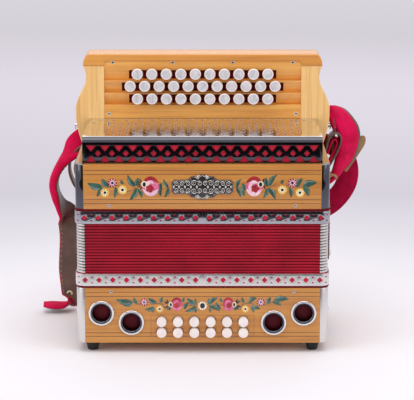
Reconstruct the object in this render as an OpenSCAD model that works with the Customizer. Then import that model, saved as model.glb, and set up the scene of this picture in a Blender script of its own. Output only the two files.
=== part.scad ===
// Three-row diatonic button accordion, standing on its bass end.
// Millimetres, +Z up. The origin is on the floor under the middle of the casings.
// The treble end lifts off the bass end along +Z as the bellows opens.

/* [Casings] */
// Width of both casings over the metal corners
casing_w = 334; // [326:1:344]
// Depth of both casings
casing_d = 200; // [196:1:206]
// Thickness of the casing walls
wall = 9; // [8:0.5:10]
// Radius of the rounded metal corner profiles
corner_r = 11; // [10:0.5:12]
// Height of the rubber feet
foot_h = 13.8; // [12:0.1:16]
// Height of the bass casing
bass_h = 75.7; // [74:0.1:78]
// Height of each bellows frame
frame_h = 19.8; // [18:0.1:22]
// Height of the closed bellows
bellows_h = 67.2; // [60:0.1:76]
// Height of the treble casing
treble_h = 59.4; // [56:0.1:64]

/* [Fingerboard] */
// Distance from the middle of the instrument to the front of the fingerboard
board_y = 49; // [47:0.5:51]
// Depth of the fingerboard body
board_d = 48; // [46:1:50]
// Height of the cheeks above the treble casing
cheek_h = 108.2; // [106:0.1:110]
// Height of the top rail
rail_h = 15.8; // [14:0.1:18]
// Width of the stepped insert
insert_w = 270.8; // [266:0.1:274]
// Height of the pierced cover above the treble casing
grille_h = 35.1; // [33:0.1:37]

/* [Treble keys] */
// Spacing of the buttons along a row
key_pitch = 19.85; // [19.5:0.05:20.5]
// Diameter of a treble button
key_d = 15.4; // [14:0.1:16]
// Diameter of the axle that the keys turn on
axle_d = 4; // [3.5:0.1:4.5]

/* [Bass side] */
// Spacing of the bass buttons along a row
bass_pitch = 21.7; // [20:0.1:22]
// Diameter of a bass button
bass_d = 13.3; // [12:0.1:14]
// Outer diameter of the sound horns
horn_d = 34; // [32:0.5:35]

/* [Straps] */
// Width of the padded shoulder straps
strap_w = 36; // [30:1:38]
// Thickness of the padded part of the shoulder straps
pad_t = 12; // [8:0.5:13]

/* [Hidden] */
$fn = 48;
KEY_ROWS = [10, 11, 10];
BASS_COLUMNS = 6;
TREBLE_KEYS = [for (r = [0:2]) for (i = [0:KEY_ROWS[r] - 1]) [r, i]];
BASS_BUTTONS = [for (r = [0:1]) for (i = [0:BASS_COLUMNS - 1]) [r, i]];
function two_digits(n) = n < 10 ? str("0", n) : str(n);
function key_name(r, i) = str("treble_key_r", r + 1, "_", two_digits(i + 1));
function bass_name(r, i) = str("bass_button_r", r + 1, "_", i + 1);
FIXED_NODES = [
    "bass_casing", "bass_metalwork", "rubber_feet", "bass_horns", "lower_bellows_frame",
    "bass_strap", "bass_reed_blocks", "bellows", "upper_bellows_frame", "treble_casing",
    "treble_metalwork", "grille", "fingerboard_frame", "fingerboard_steps",
    "treble_reed_blocks", "leather_straps", "air_button"
];

// Glue line or fit left between pieces of one sub-part
gap = 0.05;

// Heights of the main joints between the pieces
bass_z = foot_h;
bass_top = bass_z + bass_h;
bellows_z = bass_top + frame_h;
bellows_top = bellows_z + bellows_h;
treble_z = bellows_top + frame_h;
treble_top = treble_z + treble_h;
cheek_top = treble_top + cheek_h;
front_y = -casing_d / 2;
half_w = casing_w / 2;
wood_half = half_w - corner_r;

// Bellows frames
band_t = 1.2;
band_h = 16.4;
frame_wall = 24;
fold_d = 13;
gasket_h = 3;

// Grille
grille_t = 1.5;
grille_half = 157;
grille_front = -91;
grille_bend = 9;
pierce_pitch = 18.2;
pierce_count = 17;

// Fingerboard
board_back = board_y + board_d;
insert_front = board_y + 1;
insert_back = 62;
insert_z = treble_top + grille_h;
insert_top = cheek_top + 6.6;
step_depth = 7.5;
row_z = [353.3, 336.6, 319.1];
step_z = [342.7, 325.7, 309.3];
step_top = [362.4, 342.7, 325.7];
slot_h = 12.5;
back_t = 2;

// The cheeks' outline: how far it swells out, draws in and flares again, and the heights where it does
swell = 8;
neck = 14.8;
flare = 4.1;
swell_z = treble_top + 40;
shoulder_z = treble_top + 48;
neck_z = treble_top + 92.7;

// Strap studs on the cheeks
stud_y = 74;
stud_z = 276.4;
stud_d = 6;

// Keys: each is a lever on the axle, with its button behind the front and its pallet over a tone hole
axle_y = 72;
axle_z = treble_top + 18;
axle_half = 124;
lever_t = 2.2;
lever_d = 8;
arm_h = 7;
arm_z = treble_top + 14.1;
stem_d = 5;
lever_shift = [4, 0, -4];
pallet_y = [-66, -36, -6];
pallet_size = [16, 22, 5.5];
tone_hole = [11, 17];
cap_front = 37.4;
cap_t = 8;

// Bass side
bass_row_z = [44, 29.1];
bass_cap_front = -108;
bass_cap_back = -94;
bass_board_y = -70;
bass_board_t = 8;
horn_places = [[134.2, 55], [94.4, 42]];
horn_throat = 21.7;
air_x = 104;
air_z = 52;

function key_x(r, i) = (i - (KEY_ROWS[r] - 1) / 2) * key_pitch;
function bass_x(i) = (i - (BASS_COLUMNS - 1) / 2) * bass_pitch;

// ---- Shared shapes ----

// A rectangle with its four corners rounded
module round_rect(w, d, r) {
    hull_w = w / 2 - r;
    hull_d = d / 2 - r;
    union() {
        square([w, d - 2 * r], center = true);
        square([w - 2 * r, d], center = true);
        for (x = [-hull_w, hull_w], y = [-hull_d, hull_d])
            translate([x, y]) circle(r);
    }
}

// The plan of a casing: a rectangle whose corners are left out for the metal profiles
module casing_plan(inset) {
    cut = corner_r + inset;
    difference() {
        square([casing_w - 2 * inset, casing_d - 2 * inset], center = true);
        for (x = [-1, 1], y = [-1, 1])
            translate([x * half_w, y * casing_d / 2]) square(2 * cut, center = true);
    }
}

module casing_shell(z0, z1) {
    translate([0, 0, z0]) linear_extrude(z1 - z0) difference() {
        casing_plan(0);
        casing_plan(wall);
    }
}

module casing_board(z0, t) {
    translate([0, 0, z0]) linear_extrude(t) casing_plan(wall);
}

// A cylinder along Y, from y0 to y1
module rod_y(x, z, y0, y1, d) {
    translate([x, y1, z]) rotate([90, 0, 0]) cylinder(h = y1 - y0, d = d);
}

// A cylinder along X, from x0 to x1
module rod_x(y, z, x0, x1, d) {
    translate([x0, y, z]) rotate([0, 90, 0]) cylinder(h = x1 - x0, d = d);
}

module block(x, y, z) {
    translate([x[0], y[0], z[0]]) cube([x[1] - x[0], y[1] - y[0], z[1] - z[0]]);
}

// Four quarter-round metal profiles on the vertical corners of a casing
module corner_profiles(z0, z1) {
    for (x = [-1, 1], y = [-1, 1])
        translate([x * wood_half, y * (casing_d / 2 - corner_r), z0])
            intersection() {
                cylinder(h = z1 - z0, r = corner_r);
                translate([x > 0 ? 0 : -corner_r, y > 0 ? 0 : -corner_r, 0])
                    cube([corner_r, corner_r, z1 - z0]);
            }
}

// Pins on the front and back of a casing, which hold the bellows frame to it
module frame_pins(x, z) {
    for (side = [-x, x], s = [0, 1])
        mirror([0, s, 0]) rod_y(side, z, front_y - 1.6, front_y, 4);
}

// A bellows frame: a wooden ring, a metal band round it and a gasket strip beside the band
module bellows_frame(z0, band_z) {
    inner_w = casing_w - 2 * frame_wall;
    inner_d = casing_d - 2 * frame_wall;
    translate([0, 0, z0]) linear_extrude(frame_h) difference() {
        round_rect(casing_w, casing_d, corner_r);
        square([inner_w, inner_d], center = true);
    }
    translate([0, 0, band_z]) linear_extrude(band_h) difference() {
        round_rect(casing_w + 2 * band_t, casing_d + 2 * band_t, corner_r + band_t);
        round_rect(casing_w + 2 * gap, casing_d + 2 * gap, corner_r + gap);
    }
}

// ---- Bass end ----

module bass_casing() color("burlywood") {
    difference() {
        union() {
            casing_shell(bass_z, bass_top);
            casing_board(bass_z, wall);
        }
        for (b = BASS_BUTTONS)
            rod_y(bass_x(b[1]), bass_row_z[b[0]], front_y - 1, front_y + wall + 1, bass_d + 1);
        for (s = [-1, 1], h = horn_places)
            rod_y(s * h[0], h[1], front_y - 1, front_y + wall + 1, horn_throat + 4);
        rod_y(air_x, air_z, -front_y - wall - 1, -front_y + 1, 26);
    }
    // Action board, which the bass pallets close from behind
    difference() {
        block([-76, 76], [bass_board_y, bass_board_y + bass_board_t], [bass_z + wall + gap, 60]);
        for (b = BASS_BUTTONS)
            rod_y(bass_x(b[1]), bass_row_z[b[0]], bass_board_y - 1, bass_board_y + bass_board_t + 1, 9);
    }
}

module bass_metalwork() color("silver") {
    corner_profiles(bass_z, bass_top);
    frame_pins(121, bass_top - 5.4);
    // Plates and screws that hold the bass strap on both sides
    for (s = [0, 1]) mirror([s, 0, 0]) {
        difference() {
            block([half_w + 3.6, half_w + 5], [-24, 24], [28, 44]);
            for (y = [-14, 14]) rod_x(y, 36, half_w + 3, half_w + 6, 3.4);
        }
        for (y = [-14, 14]) rod_x(y, 36, half_w + 5, half_w + 6.6, 7);
    }
    // Pierced plate over the air valve
    difference() {
        rod_y(air_x, air_z, -front_y, -front_y + 1.2, 34);
        rod_y(air_x, air_z, -front_y - 1, -front_y + 3, 7);
        for (a = [0:60:300])
            rod_y(air_x + 8.6 * cos(a), air_z + 8.6 * sin(a), -front_y - 1, -front_y + 3, 5);
    }
}

module rubber_feet() color("dimgray") {
    for (x = [-147, 147], y = [-82, 82])
        translate([x, y, 0]) cylinder(h = foot_h, r1 = 7, r2 = 10);
}

module bass_horns() color("gainsboro") {
    throat_r = horn_throat / 2;
    rim_r = horn_d / 2;
    for (s = [-1, 1], h = horn_places)
        translate([s * h[0], front_y, h[1]]) rotate([90, 0, 0]) rotate_extrude()
            difference() {
                union() {
                    translate([throat_r, -20]) square([1.4, 20]);
                    translate([throat_r, 0]) square([rim_r - throat_r, 3]);
                }
                translate([rim_r - 0.6, 5.2]) circle(4.4);
            }
}

module lower_bellows_frame() color("tan") {
    bellows_frame(bass_top, bass_top + gasket_h);
}

module bass_strap() color("saddlebrown") {
    // One leather band from side to side under the end of the casing, loose enough for a hand
    out = half_w + 3.6;
    low = 3.4;
    t = 3.4;
    translate([0, 27, 0]) rotate([90, 0, 0]) linear_extrude(54) difference() {
        union() {
            translate([-out, low + 8]) square([2 * out, 38]);
            translate([-out + 8, low]) square([2 * out - 16, 20]);
            for (x = [-out + 8, out - 8]) translate([x, low + 8]) circle(8);
        }
        translate([-half_w - 0.1, low + 8]) square([2 * half_w + 0.2, 60]);
        translate([-out + 8, low + t]) square([2 * out - 16, 60]);
        for (x = [-out + 8, out - 8]) translate([x, low + 8]) circle(8 - t);
    }
}

module bass_reed_blocks() color("wheat") {
    pan_z = 70;
    casing_board(pan_z, 6);
    // Two rows of cells that carry the bass reed plates
    for (y = [-40, 20])
        difference() {
            block([-120, 120], [y, y + 22], [pan_z + 6 + gap, pan_z + 34]);
            for (i = [0:BASS_COLUMNS - 1])
                block([-112 + i * 38, -80 + i * 38], [y + 4, y + 18], [pan_z + 10, pan_z + 40]);
        }
}

module air_button() color("white") {
    back = -front_y;
    rod_y(air_x, air_z, back + 5.5, back + 11, 14);
    rod_y(air_x, air_z, back - wall, back + 5.5 - gap, 6);
    rod_y(air_x, air_z, back - wall - 5, back - wall - gap, 32);
}

module bass_button(r, i) color("white") {
    x = bass_x(i);
    z = bass_row_z[r];
    seat = bass_board_y + bass_board_t;
    rod_y(x, z, bass_cap_front, bass_cap_back, bass_d);
    rod_y(x, z, bass_cap_back + gap, seat, stem_d);
    rod_y(x, z, seat + gap, seat + 4, 12);
}

// ---- Bellows ----

module bellows() color("crimson") {
    translate([0, 0, bellows_z]) linear_extrude(bellows_h) difference() {
        round_rect(casing_w - 2, casing_d - 2, corner_r);
        square([casing_w - 2 * fold_d, casing_d - 2 * fold_d], center = true);
    }
}

// ---- Treble end ----

module upper_bellows_frame() color("tan") {
    bellows_frame(bellows_top, bellows_top + 0.4);
}

module treble_casing() color("burlywood") {
    difference() {
        union() {
            casing_shell(treble_z, treble_top);
            casing_board(treble_top - wall, wall);
        }
        for (k = TREBLE_KEYS)
            translate([key_x(k[0], k[1]), pallet_y[k[0]], treble_top - wall / 2])
                cube([tone_hole[0], tone_hole[1], wall + 2], center = true);
    }
}

module key_bracket(x) {
    difference() {
        block([x - 1, x + 1], [axle_y - 5, axle_y + 5], [treble_top, axle_z + 5]);
        rod_x(axle_y, axle_z, x - 2, x + 2, axle_d + 0.1);
    }
}

module treble_metalwork() color("silver") {
    corner_profiles(treble_z, treble_top);
    frame_pins(122, treble_z + 4.6);
    // Axle of the keys, in brackets that stand on the casing
    rod_x(axle_y, axle_z, -axle_half, axle_half, axle_d);
    for (i = [1, 4, 7]) key_bracket(key_x(0, i) + 6.95);
    for (x = [-axle_half + 4, axle_half - 4]) key_bracket(x);
    // Strap studs on the outer sides of the cheeks
    stud_x = cheek_half(stud_z + stud_d / 2) + gap;
    for (s = [0, 1]) mirror([s, 0, 0]) {
        rod_x(stud_y, stud_z, stud_x, stud_x + 3.6, stud_d);
        rod_x(stud_y, stud_z, stud_x + 3.6, stud_x + 5.4, 11);
    }
    // Screws of the stepped insert
    for (x = [-123.5, -41.2, 41.2, 123.5]) rod_y(x, 368.2, insert_front - 0.9, insert_front, 4.6);
    for (x = [-129, 129]) rod_y(x, 296.8, insert_front - 0.9, insert_front, 4.6);
}

// A stepped triangle, as the grille is pierced with, pointing up or down
module stepped_triangle(w, h, up) {
    s = up ? 1 : -1;
    polygon([[-w / 2, -s * h / 2], [w / 2, -s * h / 2], [w / 4, 0], [0, s * h / 2], [-w / 4, 0]]);
}

module diamond(w, h) {
    polygon([[-w / 2, 0], [0, -h / 2], [w / 2, 0], [0, h / 2]]);
}

module front_piercing() {
    for (i = [0:pierce_count - 1])
        translate([(i - (pierce_count - 1) / 2) * pierce_pitch, 0]) {
            translate([0, 20.5]) stepped_triangle(12, 6, false);
            translate([0, 5.5]) stepped_triangle(12, 6, true);
            if (i < pierce_count - 1)
                translate([pierce_pitch / 2, 13]) diamond(7.5, 7.5);
        }
}

module grille() color("silver") {
    z1 = treble_top + grille_h;
    bend_y = grille_front + grille_bend;
    // Front and top in one bent sheet
    difference() {
        translate([-grille_half, 0, 0]) rotate([90, 0, 90]) linear_extrude(2 * grille_half) difference() {
            union() {
                translate([grille_front, treble_top]) square([grille_bend, grille_h - grille_bend]);
                translate([bend_y, treble_top]) square([board_y - bend_y, grille_h]);
                translate([bend_y, z1 - grille_bend]) circle(grille_bend);
            }
            translate([grille_front + grille_t, treble_top - 1]) square([grille_bend, grille_h - grille_bend + 1]);
            translate([bend_y, treble_top - 1]) square([board_y - bend_y + 1, grille_h - grille_t + 1]);
            translate([bend_y, z1 - grille_bend]) circle(grille_bend - grille_t);
        }
        translate([0, grille_front + 5, treble_top]) rotate([90, 0, 0]) linear_extrude(10) front_piercing();
        for (i = [1 - pierce_count:pierce_count - 1], y = [-74, -52, -30, -8, 14])
            translate([i * pierce_pitch / 2, 0, 0]) block([-1.5, 1.5], [y, y + 14], [z1 - 3, z1 + 1]);
    }
    // Ends
    for (s = [-1, 1])
        translate([s > 0 ? grille_half - grille_t : -grille_half, 0, 0]) rotate([90, 0, 90]) linear_extrude(grille_t)
            intersection() {
                translate([grille_front + grille_t, treble_top]) square([board_y - grille_front - grille_t, grille_h - grille_t]);
                union() {
                    translate([grille_front, treble_top]) square([200, grille_h - grille_bend]);
                    translate([bend_y, treble_top]) square([200, grille_h]);
                    translate([bend_y, z1 - grille_bend]) circle(grille_bend - grille_t);
                }
            }
}

// Half the width of the fingerboard at height z: it swells out, draws in to a neck and flares again
function cheek_half(z) =
    z < swell_z ? half_w + swell * sin(90 * (z - treble_top) / (swell_z - treble_top)) :
    z < shoulder_z ? half_w + swell :
    z < neck_z ? half_w + swell - neck * (1 - cos(180 * (z - shoulder_z) / (neck_z - shoulder_z))) / 2 :
    half_w + swell - neck + flare * pow((z - neck_z) / (cheek_top - neck_z), 2);

module cheek_outline() {
    steps = 26;
    inner = insert_w / 2;
    polygon(concat(
        [[inner, treble_top]],
        [for (i = [0:steps]) let (z = treble_top + (cheek_h - gap) * i / steps) [cheek_half(z), z]],
        [[inner, cheek_top - gap]]
    ));
}

// The rail's ends are quarter ellipses
module rail_outline() {
    end_w = 9.4;
    mid = cheek_half(cheek_top) - end_w;
    right = [for (a = [0:10:90]) [mid + end_w * cos(a), cheek_top + rail_h * sin(a)]];
    left = [for (a = [90:-10:0]) [-mid - end_w * cos(a), cheek_top + rail_h * sin(a)]];
    polygon(concat(right, left));
}

module fingerboard_frame() color("wheat") {
    for (s = [0, 1])
        mirror([s, 0, 0]) translate([0, board_back, 0]) rotate([90, 0, 0]) linear_extrude(board_d) cheek_outline();
    difference() {
        translate([0, board_back, 0]) rotate([90, 0, 0]) linear_extrude(board_d + 1) rail_outline();
        block([-insert_w / 2, insert_w / 2], [0, insert_back], [cheek_top - 1, insert_top]);
    }
    block([gap - insert_w / 2, insert_w / 2 - gap], [board_back - back_t, board_back],
        [treble_top + gap, cheek_top - gap]);
}

// Stepped front: each button row has its own leaning face above a ledge
module insert_profile() {
    deep = insert_front + step_depth;
    polygon(concat(
        [[insert_back, insert_z], [insert_front, insert_z]],
        [for (r = [2:-1:0]) each [[insert_front, step_z[r]], [deep, step_z[r]], [insert_front, step_top[r]]]],
        [[insert_front, insert_top], [insert_back, insert_top]]
    ));
}

function slot_x(r) = -key_x(r, 0) + 12;

module fingerboard_steps() color("goldenrod") {
    difference() {
        translate([-insert_w / 2, 0, 0]) rotate([90, 0, 90]) linear_extrude(insert_w) insert_profile();
        for (r = [0:2])
            block([-slot_x(r), slot_x(r)], [0, insert_back + 1], [step_z[r] + 2, step_z[r] + 2 + slot_h]);
    }
    // Felt strips in the slots, with a hole for each button's stem
    for (r = [0:2])
        difference() {
            block([-slot_x(r) + gap, slot_x(r) - gap], [insert_back - 4, insert_back],
                [step_z[r] + 2 + gap, step_z[r] + 2 + slot_h - gap]);
            for (i = [0:KEY_ROWS[r] - 1])
                rod_y(key_x(r, i), row_z[r], 0, insert_back + 1, stem_d + 4);
        }
}

module treble_reed_blocks() color("wheat") {
    block_h = 34;
    for (r = [0:2]) {
        half = -key_x(r, 0) + 12;
        difference() {
            block([-half, half], [pallet_y[r] - 12, pallet_y[r] + 12],
                [treble_top - wall - block_h, treble_top - wall]);
            for (i = [0:KEY_ROWS[r] - 1])
                block([key_x(r, i) - 7, key_x(r, i) + 7], [pallet_y[r] - 9, pallet_y[r] + 9],
                    [treble_top - wall - block_h + 4, treble_top - wall + 1]);
        }
    }
}

// One key: button, stem, lever with its arm, post and pallet
module treble_key(r, i) color("white") {
    x = key_x(r, i);
    lever_x = x + lever_shift[r];
    top = row_z[r] + stem_d / 2;
    back = axle_y - lever_d / 2;
    post_d = 8;
    side = lever_t / 2;
    rod_y(x, row_z[r], cap_front, cap_front + cap_t, key_d);
    rod_y(x, row_z[r], cap_front + cap_t + gap, back, stem_d);
    if (r != 1)
        block([min(x, lever_x - side), max(x, lever_x + side)], [back - 5, back], [row_z[r] - stem_d / 2, top]);
    difference() {
        translate([lever_x - side, 0, 0]) rotate([90, 0, 90]) linear_extrude(lever_t) polygon([
            [pallet_y[r] - 3, arm_z], [axle_y + lever_d / 2, arm_z], [axle_y + lever_d / 2, top],
            [back, top], [back, arm_z + arm_h], [pallet_y[r] - 3, arm_z + arm_h]
        ]);
        rod_x(axle_y, axle_z, lever_x - lever_t, lever_x + lever_t, axle_d + 0.16);
    }
    block([lever_x - side, lever_x + side], [pallet_y[r] - 3, pallet_y[r] - 3 + post_d],
        [treble_top + pallet_size[2] + 2 * gap, arm_z]);
    translate([x - pallet_size[0] / 2, pallet_y[r] - pallet_size[1] / 2, treble_top + gap]) cube(pallet_size);
}

// ---- Straps ----

function unit(v) = v / norm(v);
function lerp(a, b, t) = a + (b - a) * t;
function spot(route, i) = route[max(0, min(len(route) - 1, i))];

// The four corners of a band's section at point i: row = [place, width direction, width, thickness]
function band_ring(route, i) =
    let (
        along = unit(spot(route, i + 1)[0] - spot(route, i - 1)[0]),
        w0 = route[i][1],
        across = unit(w0 - (w0 * along) * along),
        through = cross(along, across),
        a = across * route[i][2] / 2,
        b = through * route[i][3] / 2,
        p = route[i][0]
    )
    [p - a - b, p + a - b, p + a + b, p - a + b];

module band(route) {
    n = len(route);
    points = [for (i = [0:n - 1]) each band_ring(route, i)];
    sides = [for (i = [0:n - 2], k = [0:3])
        let (a = 4 * i + k, b = 4 * i + (k + 1) % 4) each [[a, a + 4, b + 4], [a, b + 4, b]]];
    ends = [[0, 1, 2], [0, 2, 3], [4 * n - 1, 4 * n - 2, 4 * n - 3], [4 * n - 1, 4 * n - 3, 4 * n - 4]];
    polyhedron(points, concat(sides, ends));
}

// Left strap: from a lug on the back, out in a padded loop, then hanging as leather down to its loose tail
left_route = [
    [[-128, 106, 262], [0, 0, 1], 30, 6], [[-150, 106, 260], [-0.2, 0, 1], 32, 7],
    [[-168, 105, 252], [-0.5, 0, 0.9], 32, 8], [[-184, 96, 238], [-0.2, 0.7, 0.6], 34, 10],
    [[-197, 93, 222], [0, 1, 0.2], strap_w, pad_t], [[-207, 90, 205], [0, 1, 0], strap_w, pad_t],
    [[-211, 90, 188], [0, 1, 0], strap_w, pad_t], [[-208, 91, 171], [0, 1, 0], strap_w, pad_t],
    [[-201, 92, 156], [0.3, 0.95, 0], strap_w, 9], [[-194, 96, 145], [0.7, 0.7, 0], strap_w, 7],
    [[-189, 102, 132], [1, 0.2, 0], strap_w, 6], [[-187, 104, 110], [1, 0, 0], strap_w, 6],
    [[-188, 105, 85], [1, 0, 0], strap_w, 6], [[-189, 105, 60], [1, 0, 0], strap_w, 6],
    [[-188, 105, 38], [1, 0, 0], 34, 6], [[-188, 104, 24], [1, 0.1, 0], 32, 6],
    [[-191, 98, 14], [0.7, 0.8, 0], 28, 6], [[-202, 96, 10], [0.2, 1, 0], 30, 6],
    [[-216, 95, 10], [0, 1, 0], 30, 6], [[-229, 94, 12], [0, 1, 0], 22, 5]
];
// Right strap: from its stud on the cheek, up and over in a padded loop to the corner of the casing
right_route = [
    [[180, 80, 240], [0, 1, 0], 26, 5], [[180.5, 80, 256], [0, 1, 0], 28, 5],
    [[184.5, 80, 270], [0, 1, 0], 32, 6], [[185.5, 80, 284], [0, 1, 0], 34, 8],
    [[187, 80, 296], [0.2, 1, 0], 34, 10], [[194, 80, 303], [0.3, 1, 0], 36, 11],
    [[202, 80, 294], [0.4, 1, 0], strap_w, 11], [[206, 80, 279], [0.5, 0.87, 0], strap_w, 11],
    [[208, 80, 262], [0.5, 0.87, 0], strap_w, 11], [[206, 80, 245], [0.5, 0.87, 0], strap_w, 11],
    [[201, 81, 228], [0.5, 0.87, 0], strap_w, 11], [[194, 82, 213], [0.4, 0.9, 0], 34, 10],
    [[186, 84, 201], [0.2, 1, 0], 32, 8], [[177, 86, 192], [0, 1, 0], 28, 5]
];
// Second strap: across the back from lug to lug, with a loop that shows at the right
back_route = [
    [[-132, 107, 222], [0, 0, 1], 28, 6], [[-100, 107, 208], [0.3, 0, 1], 30, 7],
    [[-50, 107, 190], [0.3, 0, 1], 32, 7], [[0, 107, 176], [0.25, 0, 1], 32, 7],
    [[60, 107, 162], [0.2, 0, 1], 32, 7], [[115, 107, 150], [0.1, 0, 1], 32, 7],
    [[155, 107, 147], [-0.1, 0, 1], 32, 7], [[178, 107, 155], [-0.5, 0, 0.9], 32, 7],
    [[195, 107, 170], [-0.7, 0, 0.7], 30, 7], [[205, 107, 189], [-0.95, 0, 0.3], 30, 7],
    [[206, 107, 210], [-1, 0, -0.1], 30, 7], [[199, 107, 229], [-0.8, 0, -0.6], 28, 7],
    [[184, 107, 241], [-0.3, 0, -0.95], 28, 7], [[164, 107, 245], [0, 0, -1], 28, 6],
    [[132, 107, 245], [0, 0, -1], 28, 6]
];
tongue_route = [
    [[197, 102.4, 207], [0.8, 0, -0.5], 12, 2.2], [[207, 102.4, 226], [0.85, 0, -0.5], 15, 2.2],
    [[216, 102.4, 241], [0.85, 0, -0.5], 15, 2.2], [[223, 102.4, 252], [0.85, 0, -0.5], 8, 2.2]
];

module leather_straps() color("firebrick") {
    band(left_route);
    band(right_route);
    band(back_route);
    band(tongue_route);
    // Closing strap on the side of the bellows, with its stud
    block([half_w + 1.4, half_w + 3.8], [-46, -24], [bellows_z + 4, treble_z - 2]);
    rod_x(-35, bellows_z + 12, half_w + 3.8, half_w + 7, 10);
}

bass_casing();
bass_metalwork();
rubber_feet();
bass_horns();
lower_bellows_frame();
bass_strap();
bass_reed_blocks();
air_button();
bellows();
upper_bellows_frame();
treble_casing();
treble_metalwork();
grille();
fingerboard_frame();
fingerboard_steps();
treble_reed_blocks();
leather_straps();
for (k = TREBLE_KEYS)
    treble_key(k[0], k[1]);
for (b = BASS_BUTTONS)
    bass_button(b[0], b[1]);
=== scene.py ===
"""Looks of a three-row button accordion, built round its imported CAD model.

Lengths in this script are millimetres in the frame's own axes; mesh() turns them into metres.
Sections: camera, mesh helpers, materials, stage, sizes, bass end, bellows frames, bellows, treble end, cover,
fingerboard, keys, ornament, straps, end.
"""

import math
import random

import bmesh
import bpy
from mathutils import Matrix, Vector


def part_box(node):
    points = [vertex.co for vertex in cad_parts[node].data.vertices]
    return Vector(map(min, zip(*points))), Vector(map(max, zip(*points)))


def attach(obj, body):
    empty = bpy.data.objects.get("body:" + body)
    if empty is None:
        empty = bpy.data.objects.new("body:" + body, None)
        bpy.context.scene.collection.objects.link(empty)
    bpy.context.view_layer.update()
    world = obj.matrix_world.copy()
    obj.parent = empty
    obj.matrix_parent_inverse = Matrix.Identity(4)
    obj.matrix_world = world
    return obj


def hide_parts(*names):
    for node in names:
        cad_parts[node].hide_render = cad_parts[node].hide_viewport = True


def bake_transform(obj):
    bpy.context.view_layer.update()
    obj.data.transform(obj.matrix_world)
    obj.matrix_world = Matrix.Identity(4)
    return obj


MM = 0.001
GAP = 0.05          # glue line between touching pieces
CAMERA_PLACE = (0.006, -2.36084, 0.72035)      # metres
CAMERA_TILT = 77.25
CAMERA_LENS = 154.1
BEVEL_ANGLE = 40    # edges sharper than this are rounded where a piece asks for it
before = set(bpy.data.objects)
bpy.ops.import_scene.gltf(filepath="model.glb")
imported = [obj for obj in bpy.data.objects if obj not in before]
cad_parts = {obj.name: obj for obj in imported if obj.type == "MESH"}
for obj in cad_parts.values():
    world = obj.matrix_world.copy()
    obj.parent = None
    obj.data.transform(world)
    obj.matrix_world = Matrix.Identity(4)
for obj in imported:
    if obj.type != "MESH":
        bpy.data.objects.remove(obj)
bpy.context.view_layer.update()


def size(node):
    """Lowest and highest corner of a CAD node, in millimetres."""
    low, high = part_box(node)
    return [c / MM for c in low], [c / MM for c in high]


def cos(degrees):
    return math.cos(math.radians(degrees))


def sin(degrees):
    return math.sin(math.radians(degrees))


# ---- Camera ----

def make_camera():
    data = bpy.data.cameras.new("camera")
    data.lens = CAMERA_LENS
    data.sensor_width = 36
    data.clip_end = 60
    camera = bpy.data.objects.new("camera", data)
    bpy.context.scene.collection.objects.link(camera)
    camera.location = CAMERA_PLACE
    camera.rotation_euler = (math.radians(CAMERA_TILT), 0, 0)
    bpy.context.scene.camera = camera


make_camera()

# ---- Mesh helpers ----

class Build:
    """Collects vertices and faces of one piece. Each face keeps the number of its material."""

    def __init__(self):
        self.verts, self.faces, self.slots = [], [], []

    def add(self, verts, faces, slot=0):
        start = len(self.verts)
        self.verts += [tuple(v) for v in verts]
        self.faces += [[start + i for i in f] for f in faces]
        self.slots += [slot] * len(faces)

    def box(self, x, y, z, slot=0):
        corners = [(a, b, c) for a in x for b in y for c in z]
        sides = [(0, 1, 3, 2), (4, 6, 7, 5), (0, 4, 5, 1), (2, 3, 7, 6), (0, 2, 6, 4), (1, 5, 7, 3)]
        self.add(corners, sides, slot)

    def rings(self, rings, slot=0, closed_ring=True, caps=True, loop=False):
        """Skins a list of rings that have the same number of points."""
        n, rows = len(rings[0]), len(rings)
        verts = [p for ring in rings for p in ring]
        span = n if closed_ring else n - 1
        faces = []
        for r in range(rows if loop else rows - 1):
            a, b = r * n, ((r + 1) % rows) * n
            faces += [(a + k, a + (k + 1) % n, b + (k + 1) % n, b + k) for k in range(span)]
        if caps and closed_ring and not loop:
            faces += [tuple(reversed(range(n))), tuple(range((rows - 1) * n, rows * n))]
        self.add(verts, faces, slot)

    def lathe(self, profile, place, steps=40, slot=0, axis="y"):
        """Turns a profile of (radius, height) points about an axis through place. Radius 0 closes it."""
        x, y, z = place
        turn = unit_circle(steps)
        rings = []
        for radius, height in profile:
            radius = max(radius, 0.02)
            if axis == "y":
                rings.append([(x + radius * c, y + height, z - radius * s) for c, s in turn])
            elif axis == "x":
                rings.append([(x + height, y + radius * c, z + radius * s) for c, s in turn])
            else:
                rings.append([(x + radius * c, y + radius * s, z + height) for c, s in turn])
        self.rings(rings, slot)

    def tube(self, points, radius, slot=0, steps=8, loop=False):
        """A round rod along points; radius is one number or one for each point."""
        frames = along(points, loop)
        rings = []
        for k, (p, side, up) in enumerate(frames):
            r = radius[k] if isinstance(radius, list) else radius
            rings.append([p + r * (math.cos(a) * side + math.sin(a) * up)
                          for a in (2 * math.pi * j / steps for j in range(steps))])
        self.rings(rings, slot, loop=loop)


def unit_circle(steps):
    """Points (cos, sin) round a circle of radius 1."""
    return [(math.cos(2 * math.pi * k / steps), math.sin(2 * math.pi * k / steps)) for k in range(steps)]


def along(points, loop):
    """(place, side, up) at each point of a path, with the frame carried along so that it doesn't twist."""
    points = [Vector(p) for p in points]
    n = len(points)
    frames, up = [], None
    for i, p in enumerate(points):
        before = points[i - 1] if i or loop else p
        after = points[(i + 1) % n] if i < n - 1 or loop else p
        direction = (after - before).normalized()
        if up is None:
            up = Vector((0, 0, 1)) if abs(direction.z) < 0.9 else Vector((0, 1, 0))
        up = (up - up.dot(direction) * direction).normalized()
        frames.append((p, direction.cross(up), up))
    return frames


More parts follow.
